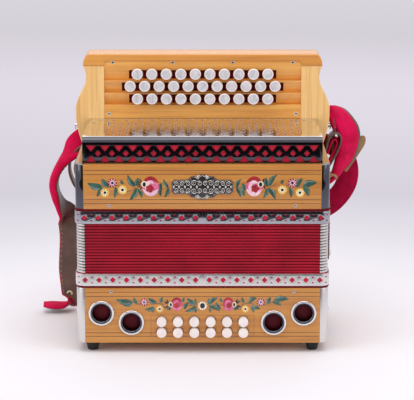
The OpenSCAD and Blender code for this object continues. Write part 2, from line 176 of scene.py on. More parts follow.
def mesh(name, build, materials, body, smooth=35, bevel=0, replaces=(), weld=False):
    """Makes the object of a Build, in metres, gives it its materials and rides it on a CAD body."""
    data = bpy.data.meshes.new(name)
    data.from_pydata([[c * MM for c in v] for v in build.verts], [], build.faces)
    for m in materials:
        data.materials.append(m)
    data.polygons.foreach_set("material_index", build.slots)
    work = bmesh.new()
    work.from_mesh(data)
    if weld:
        bmesh.ops.remove_doubles(work, verts=work.verts, dist=1e-6)
    bmesh.ops.recalc_face_normals(work, faces=work.faces)
    for f in work.faces:
        f.smooth = True
    work.to_mesh(data)
    work.free()
    data.set_sharp_from_angle(angle=math.radians(smooth))
    piece = bpy.data.objects.new(name, data)
    bpy.context.scene.collection.objects.link(piece)
    if bevel:
        edge = piece.modifiers.new("edges", "BEVEL")
        edge.width, edge.segments, edge.limit_method = bevel * MM, 2, "ANGLE"
        edge.angle_limit = math.radians(BEVEL_ANGLE)
        edge.harden_normals = True
    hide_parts(*replaces)
    if body:
        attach(piece, body)
    return piece


def plate(outlines, depth, edge, resolution):
    """A flat plate in the XY plane from z 0 to depth, with its rims rounded by edge, as (verts, faces).
    The first outline is its edge and the others are holes."""
    curve = bpy.data.curves.new("outline", "CURVE")
    curve.dimensions, curve.fill_mode = "2D", "BOTH"
    curve.extrude = depth / 2 - edge
    curve.bevel_depth, curve.bevel_resolution, curve.offset = edge, resolution, -edge
    for outline in outlines:
        spline = curve.splines.new("POLY")
        spline.points.add(len(outline) - 1)
        for point, (x, y) in zip(spline.points, outline):
            point.co = (x, y, 0, 1)
        spline.use_cyclic_u = True
    holder = bpy.data.objects.new("outline", curve)
    bpy.context.scene.collection.objects.link(holder)
    graph = bpy.context.evaluated_depsgraph_get()
    made = bpy.data.meshes.new_from_object(holder.evaluated_get(graph))
    work = bmesh.new()
    work.from_mesh(made)
    bmesh.ops.remove_doubles(work, verts=work.verts, dist=0.001)
    verts = [(v.co.x, v.co.y, v.co.z + depth / 2) for v in work.verts]
    faces = [[v.index for v in f.verts] for f in work.faces]
    work.free()
    bpy.data.objects.remove(holder)
    bpy.data.curves.remove(curve)
    bpy.data.meshes.remove(made)
    return verts, faces


def cut_lines(verts, faces, places, axis=0):
    """Cuts a mesh on planes across an axis, so that it can bend there."""
    work = bmesh.new()
    for v in verts:
        work.verts.new(v)
    work.verts.ensure_lookup_table()
    for f in faces:
        try:
            work.faces.new([work.verts[i] for i in f])
        except ValueError:
            continue
    for place in places:
        point, normal = Vector((0, 0, 0)), Vector((0, 0, 0))
        point[axis], normal[axis] = place, 1
        bmesh.ops.bisect_plane(work, geom=work.verts[:] + work.edges[:] + work.faces[:],
                               plane_co=point, plane_no=normal, dist=1e-5)
    bmesh.ops.connect_verts_concave(work, faces=work.faces[:])
    work.verts.index_update()
    made = [tuple(v.co) for v in work.verts], [[v.index for v in f.verts] for f in work.faces]
    work.free()
    return made


def circle(x, y, d, steps=32):
    """A round outline of diameter d."""
    return [(x + d / 2 * c, y + d / 2 * s) for c, s in unit_circle(steps)]


def rect(x0, x1, y0, y1, r=0.0):
    """A rectangle, with rounded corners where r is above 0."""
    steps = 5
    if not r:
        return [(x0, y0), (x1, y0), (x1, y1), (x0, y1)]
    points = []
    for cx, cy, start in ((x1 - r, y0 + r, -90), (x1 - r, y1 - r, 0),
                          (x0 + r, y1 - r, 90), (x0 + r, y0 + r, 180)):
        points += [(cx + r * cos(start + 90 * k / steps), cy + r * sin(start + 90 * k / steps))
                   for k in range(steps + 1)]
    return points


def smooth_path(points, per_span):
    """A Catmull-Rom curve through points of any number of values."""
    n = len(points)
    made = []
    for i in range(n - 1):
        quad = [points[min(max(i + k, 0), n - 1)] for k in (-1, 0, 1, 2)]
        for s in range(per_span):
            t = s / per_span
            made.append([0.5 * (2 * b + (c - a) * t + (2 * a - 5 * b + 4 * c - d) * t * t
                                + (3 * b - a - 3 * c + d) * t ** 3) for a, b, c, d in zip(*quad)])
    made.append(list(points[-1]))
    return made


# ---- Materials ----

def colour(r, g, b):
    """A colour given as 0-255 display values, as linear values with alpha."""
    values = [(c / 255 / 12.92) if c <= 10 else ((c / 255 + 0.055) / 1.055) ** 2.4 for c in (r, g, b)]
    return (*values, 1)


class Look:
    """A material with a few helpers for its nodes. Texture places are object coordinates in metres."""

    def __init__(self, name, base, roughness=0.5, metallic=0.0, coat=0.0, coat_roughness=0.08, sheen=0.0,
                 sheen_tint=None, specular=0.5):
        self.material = bpy.data.materials.new(name)
        self.material.use_nodes = True
        self.material.diffuse_color = colour(*base)
        self.tree = self.material.node_tree
        self.shader = self.tree.nodes["Principled BSDF"]
        sockets = self.shader.inputs
        sockets["Base Color"].default_value = colour(*base)
        sockets["Roughness"].default_value = roughness
        sockets["Metallic"].default_value = metallic
        sockets["Coat Weight"].default_value = coat
        sockets["Coat Roughness"].default_value = coat_roughness
        sockets["Sheen Weight"].default_value = sheen
        sockets["Specular IOR Level"].default_value = specular
        if sheen_tint:
            sockets["Sheen Tint"].default_value = colour(*sheen_tint)
            sockets["Sheen Roughness"].default_value = 0.4
        self.coords = self.tree.nodes.new("ShaderNodeTexCoord").outputs["Object"]
        self.bumped = None

    def node(self, kind, values=None, links=None, output=0):
        made = self.tree.nodes.new(kind)
        for key, value in (values or {}).items():
            if hasattr(made, key):
                setattr(made, key, value)
            else:
                made.inputs[key].default_value = value
        for key, source in (links or {}).items():
            self.tree.links.new(source, made.inputs[key])
        return made.outputs[output]

    def place(self, scale=(1, 1, 1), turn=(0, 0, 0)):
        return self.node("ShaderNodeMapping", {"Scale": scale, "Rotation": turn}, {"Vector": self.coords})

    def noise(self, scale, detail=4, stretch=(1, 1, 1), turn=(0, 0, 0), distortion=0.0):
        return self.node("ShaderNodeTexNoise", {"Scale": scale, "Detail": detail, "Distortion": distortion},
                         {"Vector": self.place(stretch, turn)})

    def cells(self, scale):
        return self.node("ShaderNodeTexVoronoi", {"feature": "F1", "Scale": scale}, {"Vector": self.place()})

    def ramp(self, source, stops):
        """Colours (or greys) along a 0-1 source: stops are (place, display colour)."""
        made = self.tree.nodes.new("ShaderNodeValToRGB")
        points = made.color_ramp.elements
        while len(points) < len(stops):
            points.new(0.5)
        for point, (place, value) in zip(points, stops):
            point.position, point.color = place, colour(*value)
        self.tree.links.new(source, made.inputs[0])
        return made.outputs[0]

    def scaled(self, source, low, high):
        return self.node("ShaderNodeMapRange", {"To Min": low, "To Max": high}, {"Value": source})

    def mix(self, share, a, b, blend="MIX"):
        made = self.tree.nodes.new("ShaderNodeMix")
        made.data_type, made.blend_type = "RGBA", blend
        for key, value in (("Factor", share), ("A", a), ("B", b)):
            socket = [s for s in made.inputs if s.name == key and (key == "Factor" and s.type == "VALUE"
                                                                  or key != "Factor" and s.type == "RGBA")][0]
            if isinstance(value, (int, float, tuple)):
                socket.default_value = value
            else:
                self.tree.links.new(value, socket)
        return [s for s in made.outputs if s.type == "RGBA"][0]

    def base(self, source):
        self.tree.links.new(source, self.shader.inputs["Base Color"])
        return self

    def rough(self, source, low, high):
        self.tree.links.new(self.scaled(source, low, high), self.shader.inputs["Roughness"])
        return self

    def bump(self, source, millimetres):
        values = {"Distance": millimetres * MM, "Strength": 1.0}
        links = {"Height": source}
        if self.bumped:
            links["Normal"] = self.bumped
        self.bumped = self.node("ShaderNodeBump", values, links)
        self.tree.links.new(self.bumped, self.shader.inputs["Normal"])
        return self


def wood(name, light, mid, dark, along_axis, coat=0.5, line=70):
    """Lacquered straight-grained wood. along_axis is 0, 1 or 2, the way its grain runs."""
    look = Look(name, mid, roughness=0.42, coat=coat, coat_roughness=0.12)
    fine, broad = [1.0] * 3, [1.0] * 3
    fine[along_axis], broad[along_axis] = 0.035, 0.12
    grain = look.noise(line * 5, 5, fine, distortion=0.6)
    rings = look.noise(line, 3, fine, distortion=1.2)
    patch = look.noise(9, 3, broad)
    tone = look.ramp(rings, [(0.32, dark), (0.5, mid), (0.68, light)])
    tone = look.mix(0.35, tone, look.ramp(grain, [(0.3, dark), (0.7, light)]))
    tone = look.mix(look.scaled(patch, 0.0, 0.5), tone, colour(*light))
    pores = look.ramp(look.noise(line * 16, 2, [c * (0.3 if c < 1 else 1) for c in fine]),
                      [(0.33, (150, 150, 150)), (0.42, (255, 255, 255))])
    look.base(look.mix(0.35, tone, pores, "MULTIPLY"))
    look.rough(grain, 0.34, 0.5)
    return look.bump(grain, 0.05).material


def chrome(name, base, roughness, wave, smudge=0.08):
    look = Look(name, base, roughness=roughness, metallic=1.0)
    marks = look.noise(60, 5)
    look.rough(marks, roughness * 0.7, roughness + smudge)
    look.bump(look.noise(28, 2), wave)
    return look.bump(look.noise(900, 2), 0.004).material


def leather(name, light, dark, pebble=900, roughness=0.5, coat=0.08):
    look = Look(name, light, roughness=roughness, coat=coat, coat_roughness=0.3)
    cells = look.cells(pebble)
    worn = look.noise(55, 5, distortion=0.4)
    look.base(look.mix(0.4, look.ramp(worn, [(0.3, dark), (0.62, light)]),
                       look.ramp(cells, [(0.1, light), (0.7, dark)])))
    look.rough(worn, roughness - 0.12, roughness + 0.12)
    look.bump(worn, 0.25)
    return look.bump(cells, 0.12).material


def velvet(name, light, dark, sheen=0.7):
    look = Look(name, light, roughness=0.85, sheen=sheen, sheen_tint=(255, 70, 120), specular=0.15)
    pile = look.noise(1400, 3)
    brushed = look.noise(48, 4, distortion=0.8)
    look.base(look.mix(0.35, look.ramp(brushed, [(0.3, dark), (0.65, light)]),
                       look.ramp(pile, [(0.25, dark), (0.75, light)])))
    return look.bump(pile, 0.22).material


def cloth(name, light, dark, thread=2600, sheen=0.25):
    look = Look(name, light, roughness=0.72, sheen=sheen, sheen_tint=(255, 150, 160), specular=0.3)
    threads = look.noise(thread, 2, (0.35, 0.35, 1))
    faded = look.noise(26, 4)
    look.base(look.mix(0.3, look.ramp(faded, [(0.3, dark), (0.7, light)]),
                       look.ramp(threads, [(0.3, dark), (0.7, light)])))
    return look.bump(threads, 0.05).material


def paint(name, light, dark):
    look = Look(name, light, roughness=0.4, coat=0.5, coat_roughness=0.12)
    strokes = look.noise(160, 4, (1, 1, 0.45), distortion=0.6)
    look.base(look.ramp(strokes, [(0.38, dark), (0.62, light)]))
    return look.bump(strokes, 0.05).material


def plastic(name, base, shade, roughness=0.22, coat=0.6):
    look = Look(name, base, roughness=roughness, coat=coat, coat_roughness=0.06)
    cloudy = look.noise(70, 4)
    look.base(look.ramp(cloudy, [(0.3, shade), (0.7, base)]))
    return look.bump(look.noise(500, 2), 0.01).material


def pearl():
    """Mother-of-pearl: soft cloudy bands of grey, pink and green under a clear coat."""
    look = Look("mother_of_pearl", (214, 210, 212), roughness=0.25, coat=0.8)
    bands = look.noise(95, 5, (1, 1, 0.5), (0, 0.7, 0), 2.2)
    tint = look.noise(150, 3, (1, 1, 0.6), (0, -0.5, 0), 1.5)
    greys = [(0.3, (176, 174, 178)), (0.5, (214, 212, 214)), (0.7, (240, 238, 238))]
    tints = [(0.3, (226, 196, 206)), (0.5, (214, 214, 218)), (0.7, (200, 216, 210))]
    look.base(look.mix(0.45, look.ramp(bands, greys), look.ramp(tint, tints)))
    return look.rough(bands, 0.15, 0.35).material


def felt(name, light, dark):
    look = Look(name, light, roughness=0.95, sheen=0.4, sheen_tint=(255, 140, 140), specular=0.1)
    fibres = look.noise(900, 6, distortion=1.0)
    look.base(look.ramp(fibres, [(0.3, dark), (0.7, light)]))
    return look.bump(fibres, 0.2).material


HONEY_X = wood("honey_wood_x", (212, 148, 64), (197, 128, 50), (168, 98, 34), 0)
HONEY_Y = wood("honey_wood_y", (214, 150, 74), (198, 130, 58), (172, 102, 40), 1)
RAIL = wood("honey_wood_rail", (234, 166, 76), (219, 146, 60), (194, 118, 44), 0)
MAPLE = wood("maple", (248, 205, 134), (240, 188, 112), (220, 160, 86), 2, line=45)
INSERT = wood("insert_wood", (248, 186, 92), (238, 166, 76), (214, 136, 54), 0, coat=0.4)
PALE = wood("pale_wood", (226, 200, 150), (214, 184, 130), (190, 156, 104), 0, coat=0.0)
# painted reflection: the next three are the chrome with a darker base colour, standing in for dark
# reflections
DARK_REFLECTION_CHROME = chrome("chrome_painted_dark_reflection", (90, 91, 98), 0.07, 0.25)
BAND_REFLECTION_CHROME = chrome("chrome_painted_band_reflection", (178, 178, 184), 0.09, 0.3)
FRONT_REFLECTION_CHROME = chrome("chrome_painted_front_reflection", (88, 88, 94), 0.1, 0.1)
COVER = chrome("cover_chrome", (226, 224, 224), 0.05, 0.06)
CHROME = chrome("chrome", (232, 233, 236), 0.05, 0.02)
SATIN = chrome("satin_nickel", (222, 219, 216), 0.3, 0.06, 0.12)
STEEL = chrome("steel", (196, 196, 200), 0.16, 0.01)
CREST_LOOK = cloth("bellows_crest", (172, 4, 40), (138, 0, 28), sheen=0.1)
CARD = cloth("bellows_card", (128, 0, 26), (98, 0, 18), sheen=0.1)
CORE = cloth("frame_cloth", (196, 30, 62), (150, 12, 40))
GASKET = felt("gasket", (120, 16, 26), (74, 6, 14))
RED_CLOTH = cloth("red_cloth", (214, 34, 66), (176, 16, 44), thread=1700, sheen=0.1)
HORN_CLOTH = cloth("horn_cloth", (104, 6, 26), (70, 2, 14), thread=1700)
VELVET = velvet("velvet", (224, 8, 80), (168, 0, 46), 0.4)
VELVET_DEEP = velvet("velvet_deep", (180, 4, 62), (134, 0, 40), 0.5)
BROWN = leather("brown_leather", (116, 86, 74), (78, 54, 46), roughness=0.42, coat=0.2)
TAN = leather("tan_leather", (176, 138, 92), (138, 104, 66), 700)
THREAD = cloth("thread", (206, 176, 140), (160, 130, 100))
PIPING = leather("piping", (112, 116, 104), (74, 80, 70), 1200)
RUBBER = plastic("rubber", (34, 34, 36), (22, 22, 24), 0.7, 0.0)
WHITE = plastic("white_plastic", (246, 236, 230), (236, 224, 218))
PEARL = pearl()
# partly painted shade: red felt with its colour darkened to the shade that falls in the insert's slots
RED_FELT_PAINTED_SHADE = felt("felt_red_painted_shade", (118, 24, 20), (72, 10, 10))
WHITE_FELT = felt("white_felt", (214, 208, 198), (176, 168, 156))
LINE = paint("pinstripe", (96, 66, 36), (70, 46, 26))
# painted shadow: a darker wood tone for the shade along the edge of the panel round the bass buttons
SHADOW_LINE = paint("panel_painted_shadow", (150, 96, 48), (124, 78, 38))
GREEN = paint("leaf_green", (62, 106, 84), (34, 74, 62))
GREY_GREEN = paint("leaf_light", (124, 142, 132), (88, 112, 104))
CRIMSON = paint("petal_crimson", (170, 34, 54), (122, 14, 34))
RED = paint("petal_red", (184, 30, 44), (146, 16, 30))
PINK = paint("petal_pink", (228, 128, 160), (206, 88, 128))
PINK_DEEP = paint("petal_rose", (206, 72, 108), (176, 40, 74))
GREEN_DARK = paint("leaf_dark", (42, 72, 56), (26, 48, 42))
PALE_PINK = paint("petal_pale", (244, 214, 222), (232, 178, 196))
YELLOW = paint("petal_yellow", (240, 196, 78), (222, 166, 48))
IVORY = paint("petal_ivory", (246, 236, 214), (232, 214, 178))
BLACK = paint("paint_black", (28, 22, 28), (16, 12, 18))
BLUE = paint("petal_blue", (96, 92, 140), (62, 58, 104))
OLD_SILVER = chrome("old_silver", (210, 206, 200), 0.28, 0.05)
# real dark inlay on the nameplate, and painted shade in the slots of the screws
NIELLO_AND_SLOT_SHADE = paint("niello_and_painted_slot_shade", (46, 38, 42), (28, 22, 26))


# ---- Stage ----

FLOOR_HALF = 12                              # metres
# painted light and shade: the floor's grey changes with distance, lighter near, darker further off, lighter
# far away
FLOOR_PAINTED_FALLOFF = [(0.0, (242, 240, 242)), (0.07, (238, 237, 240)), (0.13, (218, 216, 221)),
               (0.2, (204, 201, 207)), (0.5, (226, 222, 228)), (0.95, (240, 238, 240))]
CARD_WIDE, CARD_NEAR, CARD_FAR, CARD_TALL = 1.6, -0.86, -3.2, 1.0
SOFTBOXES = (                                # name, place, aim, width, height, watts
    ("top_softbox", (0.0, -0.5, 2.0), (0, 0.1, 0.1), 2.2, 1.4, 16),
    ("left_softbox", (-1.9, -1.1, 1.1), (0, 0, 0.2), 0.9, 1.6, 8),
    ("right_softbox", (1.9, -1.2, 1.2), (0, 0, 0.2), 0.9, 1.6, 6),
    ("rear_softbox", (0.3, 2.2, 1.6), (0, 0, 0.2), 2.0, 1.0, 8))


def make_stage():
    """A wide pale floor whose grey carries painted light falloff, soft lights, and dark cards in front that
    only the polished metal sees.
    """
    floor_look = Look("floor", (236, 232, 238), roughness=0.8, specular=0.0)
    distance = floor_look.node("ShaderNodeVectorMath", {"operation": "LENGTH"},
                               {0: floor_look.place((0.16, 0.22, 0))}, 1)
    floor_look.base(floor_look.ramp(distance, FLOOR_PAINTED_FALLOFF))
    data = bpy.data.meshes.new("floor")
    half = FLOOR_HALF
    corners = [(-half, -half, 0), (half, -half, 0), (half, half, 0), (-half, half, 0)]
    data.from_pydata(corners, [], [(0, 1, 2, 3)])
    data.materials.append(floor_look.material)
    floor = bpy.data.objects.new("floor", data)
    card_look = Look("black_card", (16, 16, 20), roughness=0.9)
    card_look.bump(card_look.noise(40), 0.2)
    cards = []
    near, far, wide, tall, lift = CARD_NEAR, CARD_FAR, CARD_WIDE, CARD_TALL, 0.001
    for name, corners in (
            ("floor_card", [(-wide, near, lift), (wide, near, lift), (wide, far, lift), (-wide, far, lift)]),
            ("wall_card", [(-wide, far, 0), (wide, far, 0), (wide, far, tall), (-wide, far, tall)])):
        plane = bpy.data.meshes.new(name)
        plane.from_pydata(corners, [], [(0, 1, 2, 3)])
        plane.materials.append(card_look.material)
        card = bpy.data.objects.new(name, plane)
        card.visible_camera = card.visible_diffuse = card.visible_shadow = False
        cards.append(card)
    for o in [floor, *cards]:
        bpy.context.scene.collection.objects.link(o)

    world = bpy.data.worlds.new("studio")
    world.use_nodes = True
    world.node_tree.nodes["Background"].inputs["Color"].default_value = colour(228, 226, 231)
    world.node_tree.nodes["Background"].inputs["Strength"].default_value = 1.0
    bpy.context.scene.world = world
    for name, place, aim, width, height, power in SOFTBOXES:
        light = bpy.data.lights.new(name, "AREA")
        light.shape, light.size, light.size_y, light.energy = "RECTANGLE", width, height, power
        lamp = bpy.data.objects.new(name, light)
        bpy.context.scene.collection.objects.link(lamp)
        lamp.location = place
        lamp.rotation_euler = (Vector(aim) - Vector(place)).to_track_quat("-Z", "Y").to_euler()
    bpy.context.scene.view_settings.view_transform = "Standard"


make_stage()

# ---- Sizes read from the CAD model ----

bass_low, bass_high = size("bass_casing")
treble_low, treble_high = size("treble_casing")
lower_low, lower_high = size("lower_bellows_frame")
upper_low, upper_high = size("upper_bellows_frame")
bellows_low, bellows_high = size("bellows")
grille_low, grille_high = size("grille")
board_low, board_high = size("fingerboard_frame")
insert_low, insert_high = size("fingerboard_steps")
HALF_W, HALF_D = bass_high[0], bass_high[1]
BASS_Z, BASS_TOP = bass_low[2], bass_high[2]
TREBLE_Z, TREBLE_TOP = treble_low[2], treble_high[2]
CORNER_R = 11        # radius of the metal corner profiles
WALL = 9             # thickness of the casing boards


def corner_profile(build, x, y, z):
    """A quarter-round upright on one corner of a casing, with its ends turned over."""
    radius = CORNER_R
    sx, sy = (1 if x > 0 else -1), (1 if y > 0 else -1)
    cx, cy = x - sx * radius, y - sy * radius
    rings = []
    for height, r in ((z[0], radius - 1.2), (z[0] + 0.35, radius - 0.35), (z[0] + 1.2, radius),
                      (z[1] - 1.2, radius), (z[1] - 0.35, radius - 0.35), (z[1], radius - 1.2)):
        arc = [(cx + sx * r * cos(a), cy + sy * r * sin(a), height) for a in range(0, 91, 9)]
        rings.append([(cx, cy + sy * 0.1, height)] + arc)
    build.rings(rings)


def corner_profiles(name, z, look, body, node):
    """The four corner uprights of a casing, as one piece."""
    build = Build()
    for x in (-HALF_W, HALF_W):
        for y in (-HALF_D, HALF_D):
            corner_profile(build, x, y, z)
    mesh(name, build, [look], body, replaces=(node,))


def screw(build, x, y, z, d, facing):
    """A domed screw head on a front or back face, with its slot painted dark for shade; y is the face it
    stands on.
    """
    r = d / 2
    build.lathe([(0, 0), (r, 0), (r, facing * 0.25), (r * 0.8, facing * 0.55), (r * 0.45, facing * 0.72),
                 (0, facing * 0.78)], (x, y, z), 20)
    w, t = r * 0.75, d * 0.07
    face = sorted((y + facing * 0.5, y + facing * 0.86))
    build.box((x - w, x + w), face, (z - t, z + t), 1)


def board(name, outlines, depth, place, look, body, edge=0.6, replaces=(), facing="front"):
    """A wooden board: an outline with holes, rounded rims, stood or laid in its place."""
    verts, faces = plate(outlines, depth, edge, 2)
    if facing == "front":        # outline in XZ, depth along +Y from place
        verts = [(x, place + z, y) for x, y, z in verts]
    elif facing == "side":       # outline in YZ, depth along +X from place
        verts = [(place + z, x, y) for x, y, z in verts]
    else:                        # outline in XY, depth along +Z from place
        verts = [(x, y, place + z) for x, y, z in verts]
    build = Build()
    build.add(verts, faces)
    return mesh(name, build, [look], body, smooth=40, replaces=replaces)

# ---- Bass end ----

HORNS = [(sign * x, z) for sign in (-1, 1) for x, z in ((134.2, 55), (94.4, 42))]
HORN_THROAT = 21.7
HORN_RIM = 17
HORN_STEPS = 64
BASS_D = 13.3
PLATE_T = 1.4
BASS_KEYS = {n: size(n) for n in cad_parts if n.startswith("bass_button")}
BASS_PLACES = [((lo[0] + hi[0]) / 2, (lo[2] + hi[2]) / 2) for lo, hi in BASS_KEYS.values()]
AIR_LOW, AIR_HIGH = size("air_button")
AIR = ((AIR_LOW[0] + AIR_HIGH[0]) / 2, (AIR_LOW[2] + AIR_HIGH[2]) / 2)
WOOD_HALF = HALF_W - CORNER_R


def casing_boards(prefix, z, front_holes, back_holes, body, node, lid_z, lid_holes):
    """Front, back, two sides and the closing board of one casing, with room for the metal corners."""
    z0, z1 = z
    deep = HALF_D - CORNER_R
    for side, holes in (("front", front_holes), ("back", back_holes)):
        y = -HALF_D if side == "front" else HALF_D - WALL
        board(f"{prefix}_{side}", [rect(-WOOD_HALF + GAP, WOOD_HALF - GAP, z0, z1)] + holes, WALL, y,
              HONEY_X, body, replaces=(node,))
    for side in (-1, 1):
        x = HALF_W - WALL if side > 0 else -HALF_W
        name = f"{prefix}_side_{'right' if side > 0 else 'left'}"
        board(name, [rect(-deep + GAP, deep - GAP, z0, z1)], WALL, x, HONEY_Y, body,
              replaces=(node,), facing="side")
    inner = (HALF_W - WALL - GAP, HALF_D - WALL - GAP)
    cut = CORNER_R - WALL + 0.5
    lid = [(-inner[0] + cut, -inner[1]), (inner[0] - cut, -inner[1]), (inner[0] - cut, -inner[1] + cut),
           (inner[0], -inner[1] + cut), (inner[0], inner[1] - cut), (inner[0] - cut, inner[1] - cut),
           (inner[0] - cut, inner[1]), (-inner[0] + cut, inner[1]), (-inner[0] + cut, inner[1] - cut),
           (-inner[0], inner[1] - cut), (-inner[0], -inner[1] + cut), (-inner[0] + cut, -inner[1] + cut)]
    board(f"{prefix}_closing_board", [lid] + lid_holes, WALL, lid_z, HONEY_X, body, 0.3,
          (node,), "flat")


def make_bass_casing():
    """The bass end's boards, with holes for the horns, buttons and air valve, and the board behind them."""
    front = [circle(x, z, BASS_D + 1) for x, z in BASS_PLACES]
    front += [circle(x, z, HORN_THROAT + 4, 40) for x, z in HORNS]
    casing_boards("bass_casing", (BASS_Z, BASS_TOP), front, [circle(*AIR, 26)], "bass_end", "bass_casing",
                  BASS_Z, [])
    holes = [circle(x, z, 9, 20) for x, z in BASS_PLACES]
    board("bass_action_board", [rect(-76, 76, BASS_Z + WALL + GAP, 60)] + holes, 8, -70, PALE, "bass_end",
          0.3, ("bass_casing",))


def make_bass_metal():
    """Corners, pins, strap plates and the plate of the air valve."""
    corner_profiles("bass_corner_profiles", (BASS_Z, BASS_TOP), SATIN, "bass_end",
                    "bass_metalwork")
    build = Build()
    for x in (-121, 121):
        for side in (-1, 1):
            screw(build, x, side * HALF_D, BASS_TOP - 5.4, 4, side)
    mesh("bass_frame_pins", build, [STEEL, NIELLO_AND_SLOT_SHADE], "bass_end", bevel=0.08,
         replaces=("bass_metalwork",))
    make_strap_plates()
    make_air_plate()


def make_strap_plates():
    """Plates and screws that hold the bass strap on both sides of the casing."""
    for side in (-1, 1):
        build = Build()
        outline = rect(-24, 24, 28, 44, 4)
        verts, faces = plate([outline, circle(-14, 36, 3.4, 20), circle(14, 36, 3.4, 20)], PLATE_T, 0.3, 2)
        face = HALF_W + 3.6               # the strap lies between the casing and the plate
        build.add([(side * (face + z), x, y) for x, y, z in verts], faces)
        for y in (-14, 14):
            build.lathe([(0, face + 1.4), (3.5, face + 1.4), (3.5, face + 1.7), (2.9, face + 2.5),
                         (1.6, face + 2.95), (0, face + 3.0)], (0, y, 36), 24, 0, "x")
            turned = build.verts[-24 * 6:]
            build.verts[-24 * 6:] = [(side * a, b, c) for a, b, c in turned]
            # painted shade: the screw's slot is a dark box
            build.box(sorted((side * (face + 2.6), side * (face + 3.05))), (y - 2.4, y + 2.4),
                      (35.7, 36.3), 1)
        mesh(f"bass_strap_plate_{'right' if side > 0 else 'left'}", build, [CHROME, NIELLO_AND_SLOT_SHADE], "bass_end",
             replaces=("bass_metalwork",))


def make_air_plate():
    """The pierced plate over the air valve, on the back, and the button that works it."""
    around = [(AIR[0] + 8.6 * cos(a), AIR[1] + 8.6 * sin(a)) for a in range(0, 360, 60)]
    outlines = [circle(*AIR, 34, 48), circle(*AIR, 7, 24)] + [circle(x, z, 5, 20) for x, z in around]
    board("air_valve_plate", outlines, 1.2, HALF_D, CHROME, "bass_end", 0.3,
          ("bass_metalwork",))
    build = Build()
    x, z = AIR
    build.lathe([(0, 105.5), (6.2, 105.5), (6.9, 106.2), (7, 107.5), (7, 109.4), (6.5, 110.4), (5.4, 110.9),
                 (5.1, 110.55), (0, 110.5)], (x, 0, z), 36)
    build.lathe([(0, 91.1), (3, 91.1), (3, 105.45), (0, 105.45)], (x, 0, z), 20, 1)
    build.lathe([(0, 86), (15.6, 86), (16, 86.4), (16, 90.5), (15.6, 90.9), (0, 90.95)], (x, 0, z), 36, 2)
    mesh("air_button_piece", build, [WHITE, STEEL, WHITE_FELT], "air_button",
         replaces=("air_button",))


def make_feet():
    low, high = size("rubber_feet")
    build = Build()
    foot = [(0, 2.2), (2.6, 2.2), (2.9, 0.5), (3.4, 0), (6.1, 0), (6.8, 0.4), (7.2, 1.2), (8.2, 6),
            (9.6, 12.2), (9.9, 13.2), (9.6, high[2]), (0, high[2])]
    for x in (low[0] + 10, high[0] - 10):
        for y in (low[1] + 10, high[1] - 10):
            build.lathe(foot, (x, y, 0), 40, 0, "z")
    mesh("rubber_feet_piece", build, [RUBBER], "bass_end", replaces=("rubber_feet",))


def make_horns():
    """Flared sound horns, with cloth stretched inside the throats."""
    for k, (x, z) in enumerate(HORNS):
        build = Build()
        throat, rim = HORN_THROAT / 2, HORN_RIM
        flare = [(throat + 3.6 * (1 - cos(a)), -HALF_D + 1.5 - 4.4 * sin(a)) for a in range(0, 91, 10)]
        outer = [(rim - 1.1, -103), (rim - 0.3, -102.6), (rim, -101.8), (rim - 0.2, -100.6),
                 (rim - 0.6, -100.02)]
        back = [(throat + 1.5, -100.02), (throat + 1.4, -98), (throat + 1.4, -80), (throat, -80)]
        turned = [(throat, -81)] + flare + outer + back
        build.rings([[(x + r * c, y, z + r * s) for c, s in unit_circle(HORN_STEPS)] for r, y in turned],
                    0, caps=False, loop=True)
        # painted reflection: the bowl takes chrome darkened for the dark reflections in it, the rim of the
        # same metal stays bright
        bowl = HORN_STEPS * len(flare)
        build.slots[:bowl] = [1] * bowl
        mesh(f"bass_horn_{k + 1}", build, [CHROME, FRONT_REFLECTION_CHROME], "bass_end", smooth=50,
             replaces=("bass_horns",))
        domed = Build()
        domed.lathe([(throat - 0.1, -86), (throat - 0.1, -91), (throat * 0.8, -91.8), (throat * 0.45, -92.4),
                     (0, -92.6)], (x, 0, z), 40)
        mesh(f"bass_horn_cloth_{k + 1}", domed, [HORN_CLOTH], "bass_end",
             replaces=("bass_horns",))


def make_bass_buttons():
    """Each with its stem and the felt that it rests on."""
    cap = [(0, -7), (5.0, -7), (6.2, -6.7), (6.6, -6.0), (6.65, -4.5), (6.65, 5.6), (6.3, 6.5), (5.4, 7),
           (0, 7)]
    for name, (low, high) in BASS_KEYS.items():
        x, z = (low[0] + high[0]) / 2, (low[2] + high[2]) / 2
        stem = high[1] - low[1] - 18.2
        build = Build()
        build.lathe(cap, (x, low[1] + 7, z), 40)
        build.lathe([(0, 0), (2.5, 0), (2.5, stem), (0, stem)], (x, low[1] + 14 + GAP, z), 16, 1)
        build.lathe([(0, 0), (5.8, 0), (6, 0.3), (6, 3.4), (5.6, 3.9), (0, 3.9)],
                    (x, high[1] - 3.95, z), 24, 2)
        mesh(f"{name}_piece", build, [WHITE, STEEL, WHITE_FELT], name, replaces=(name,))


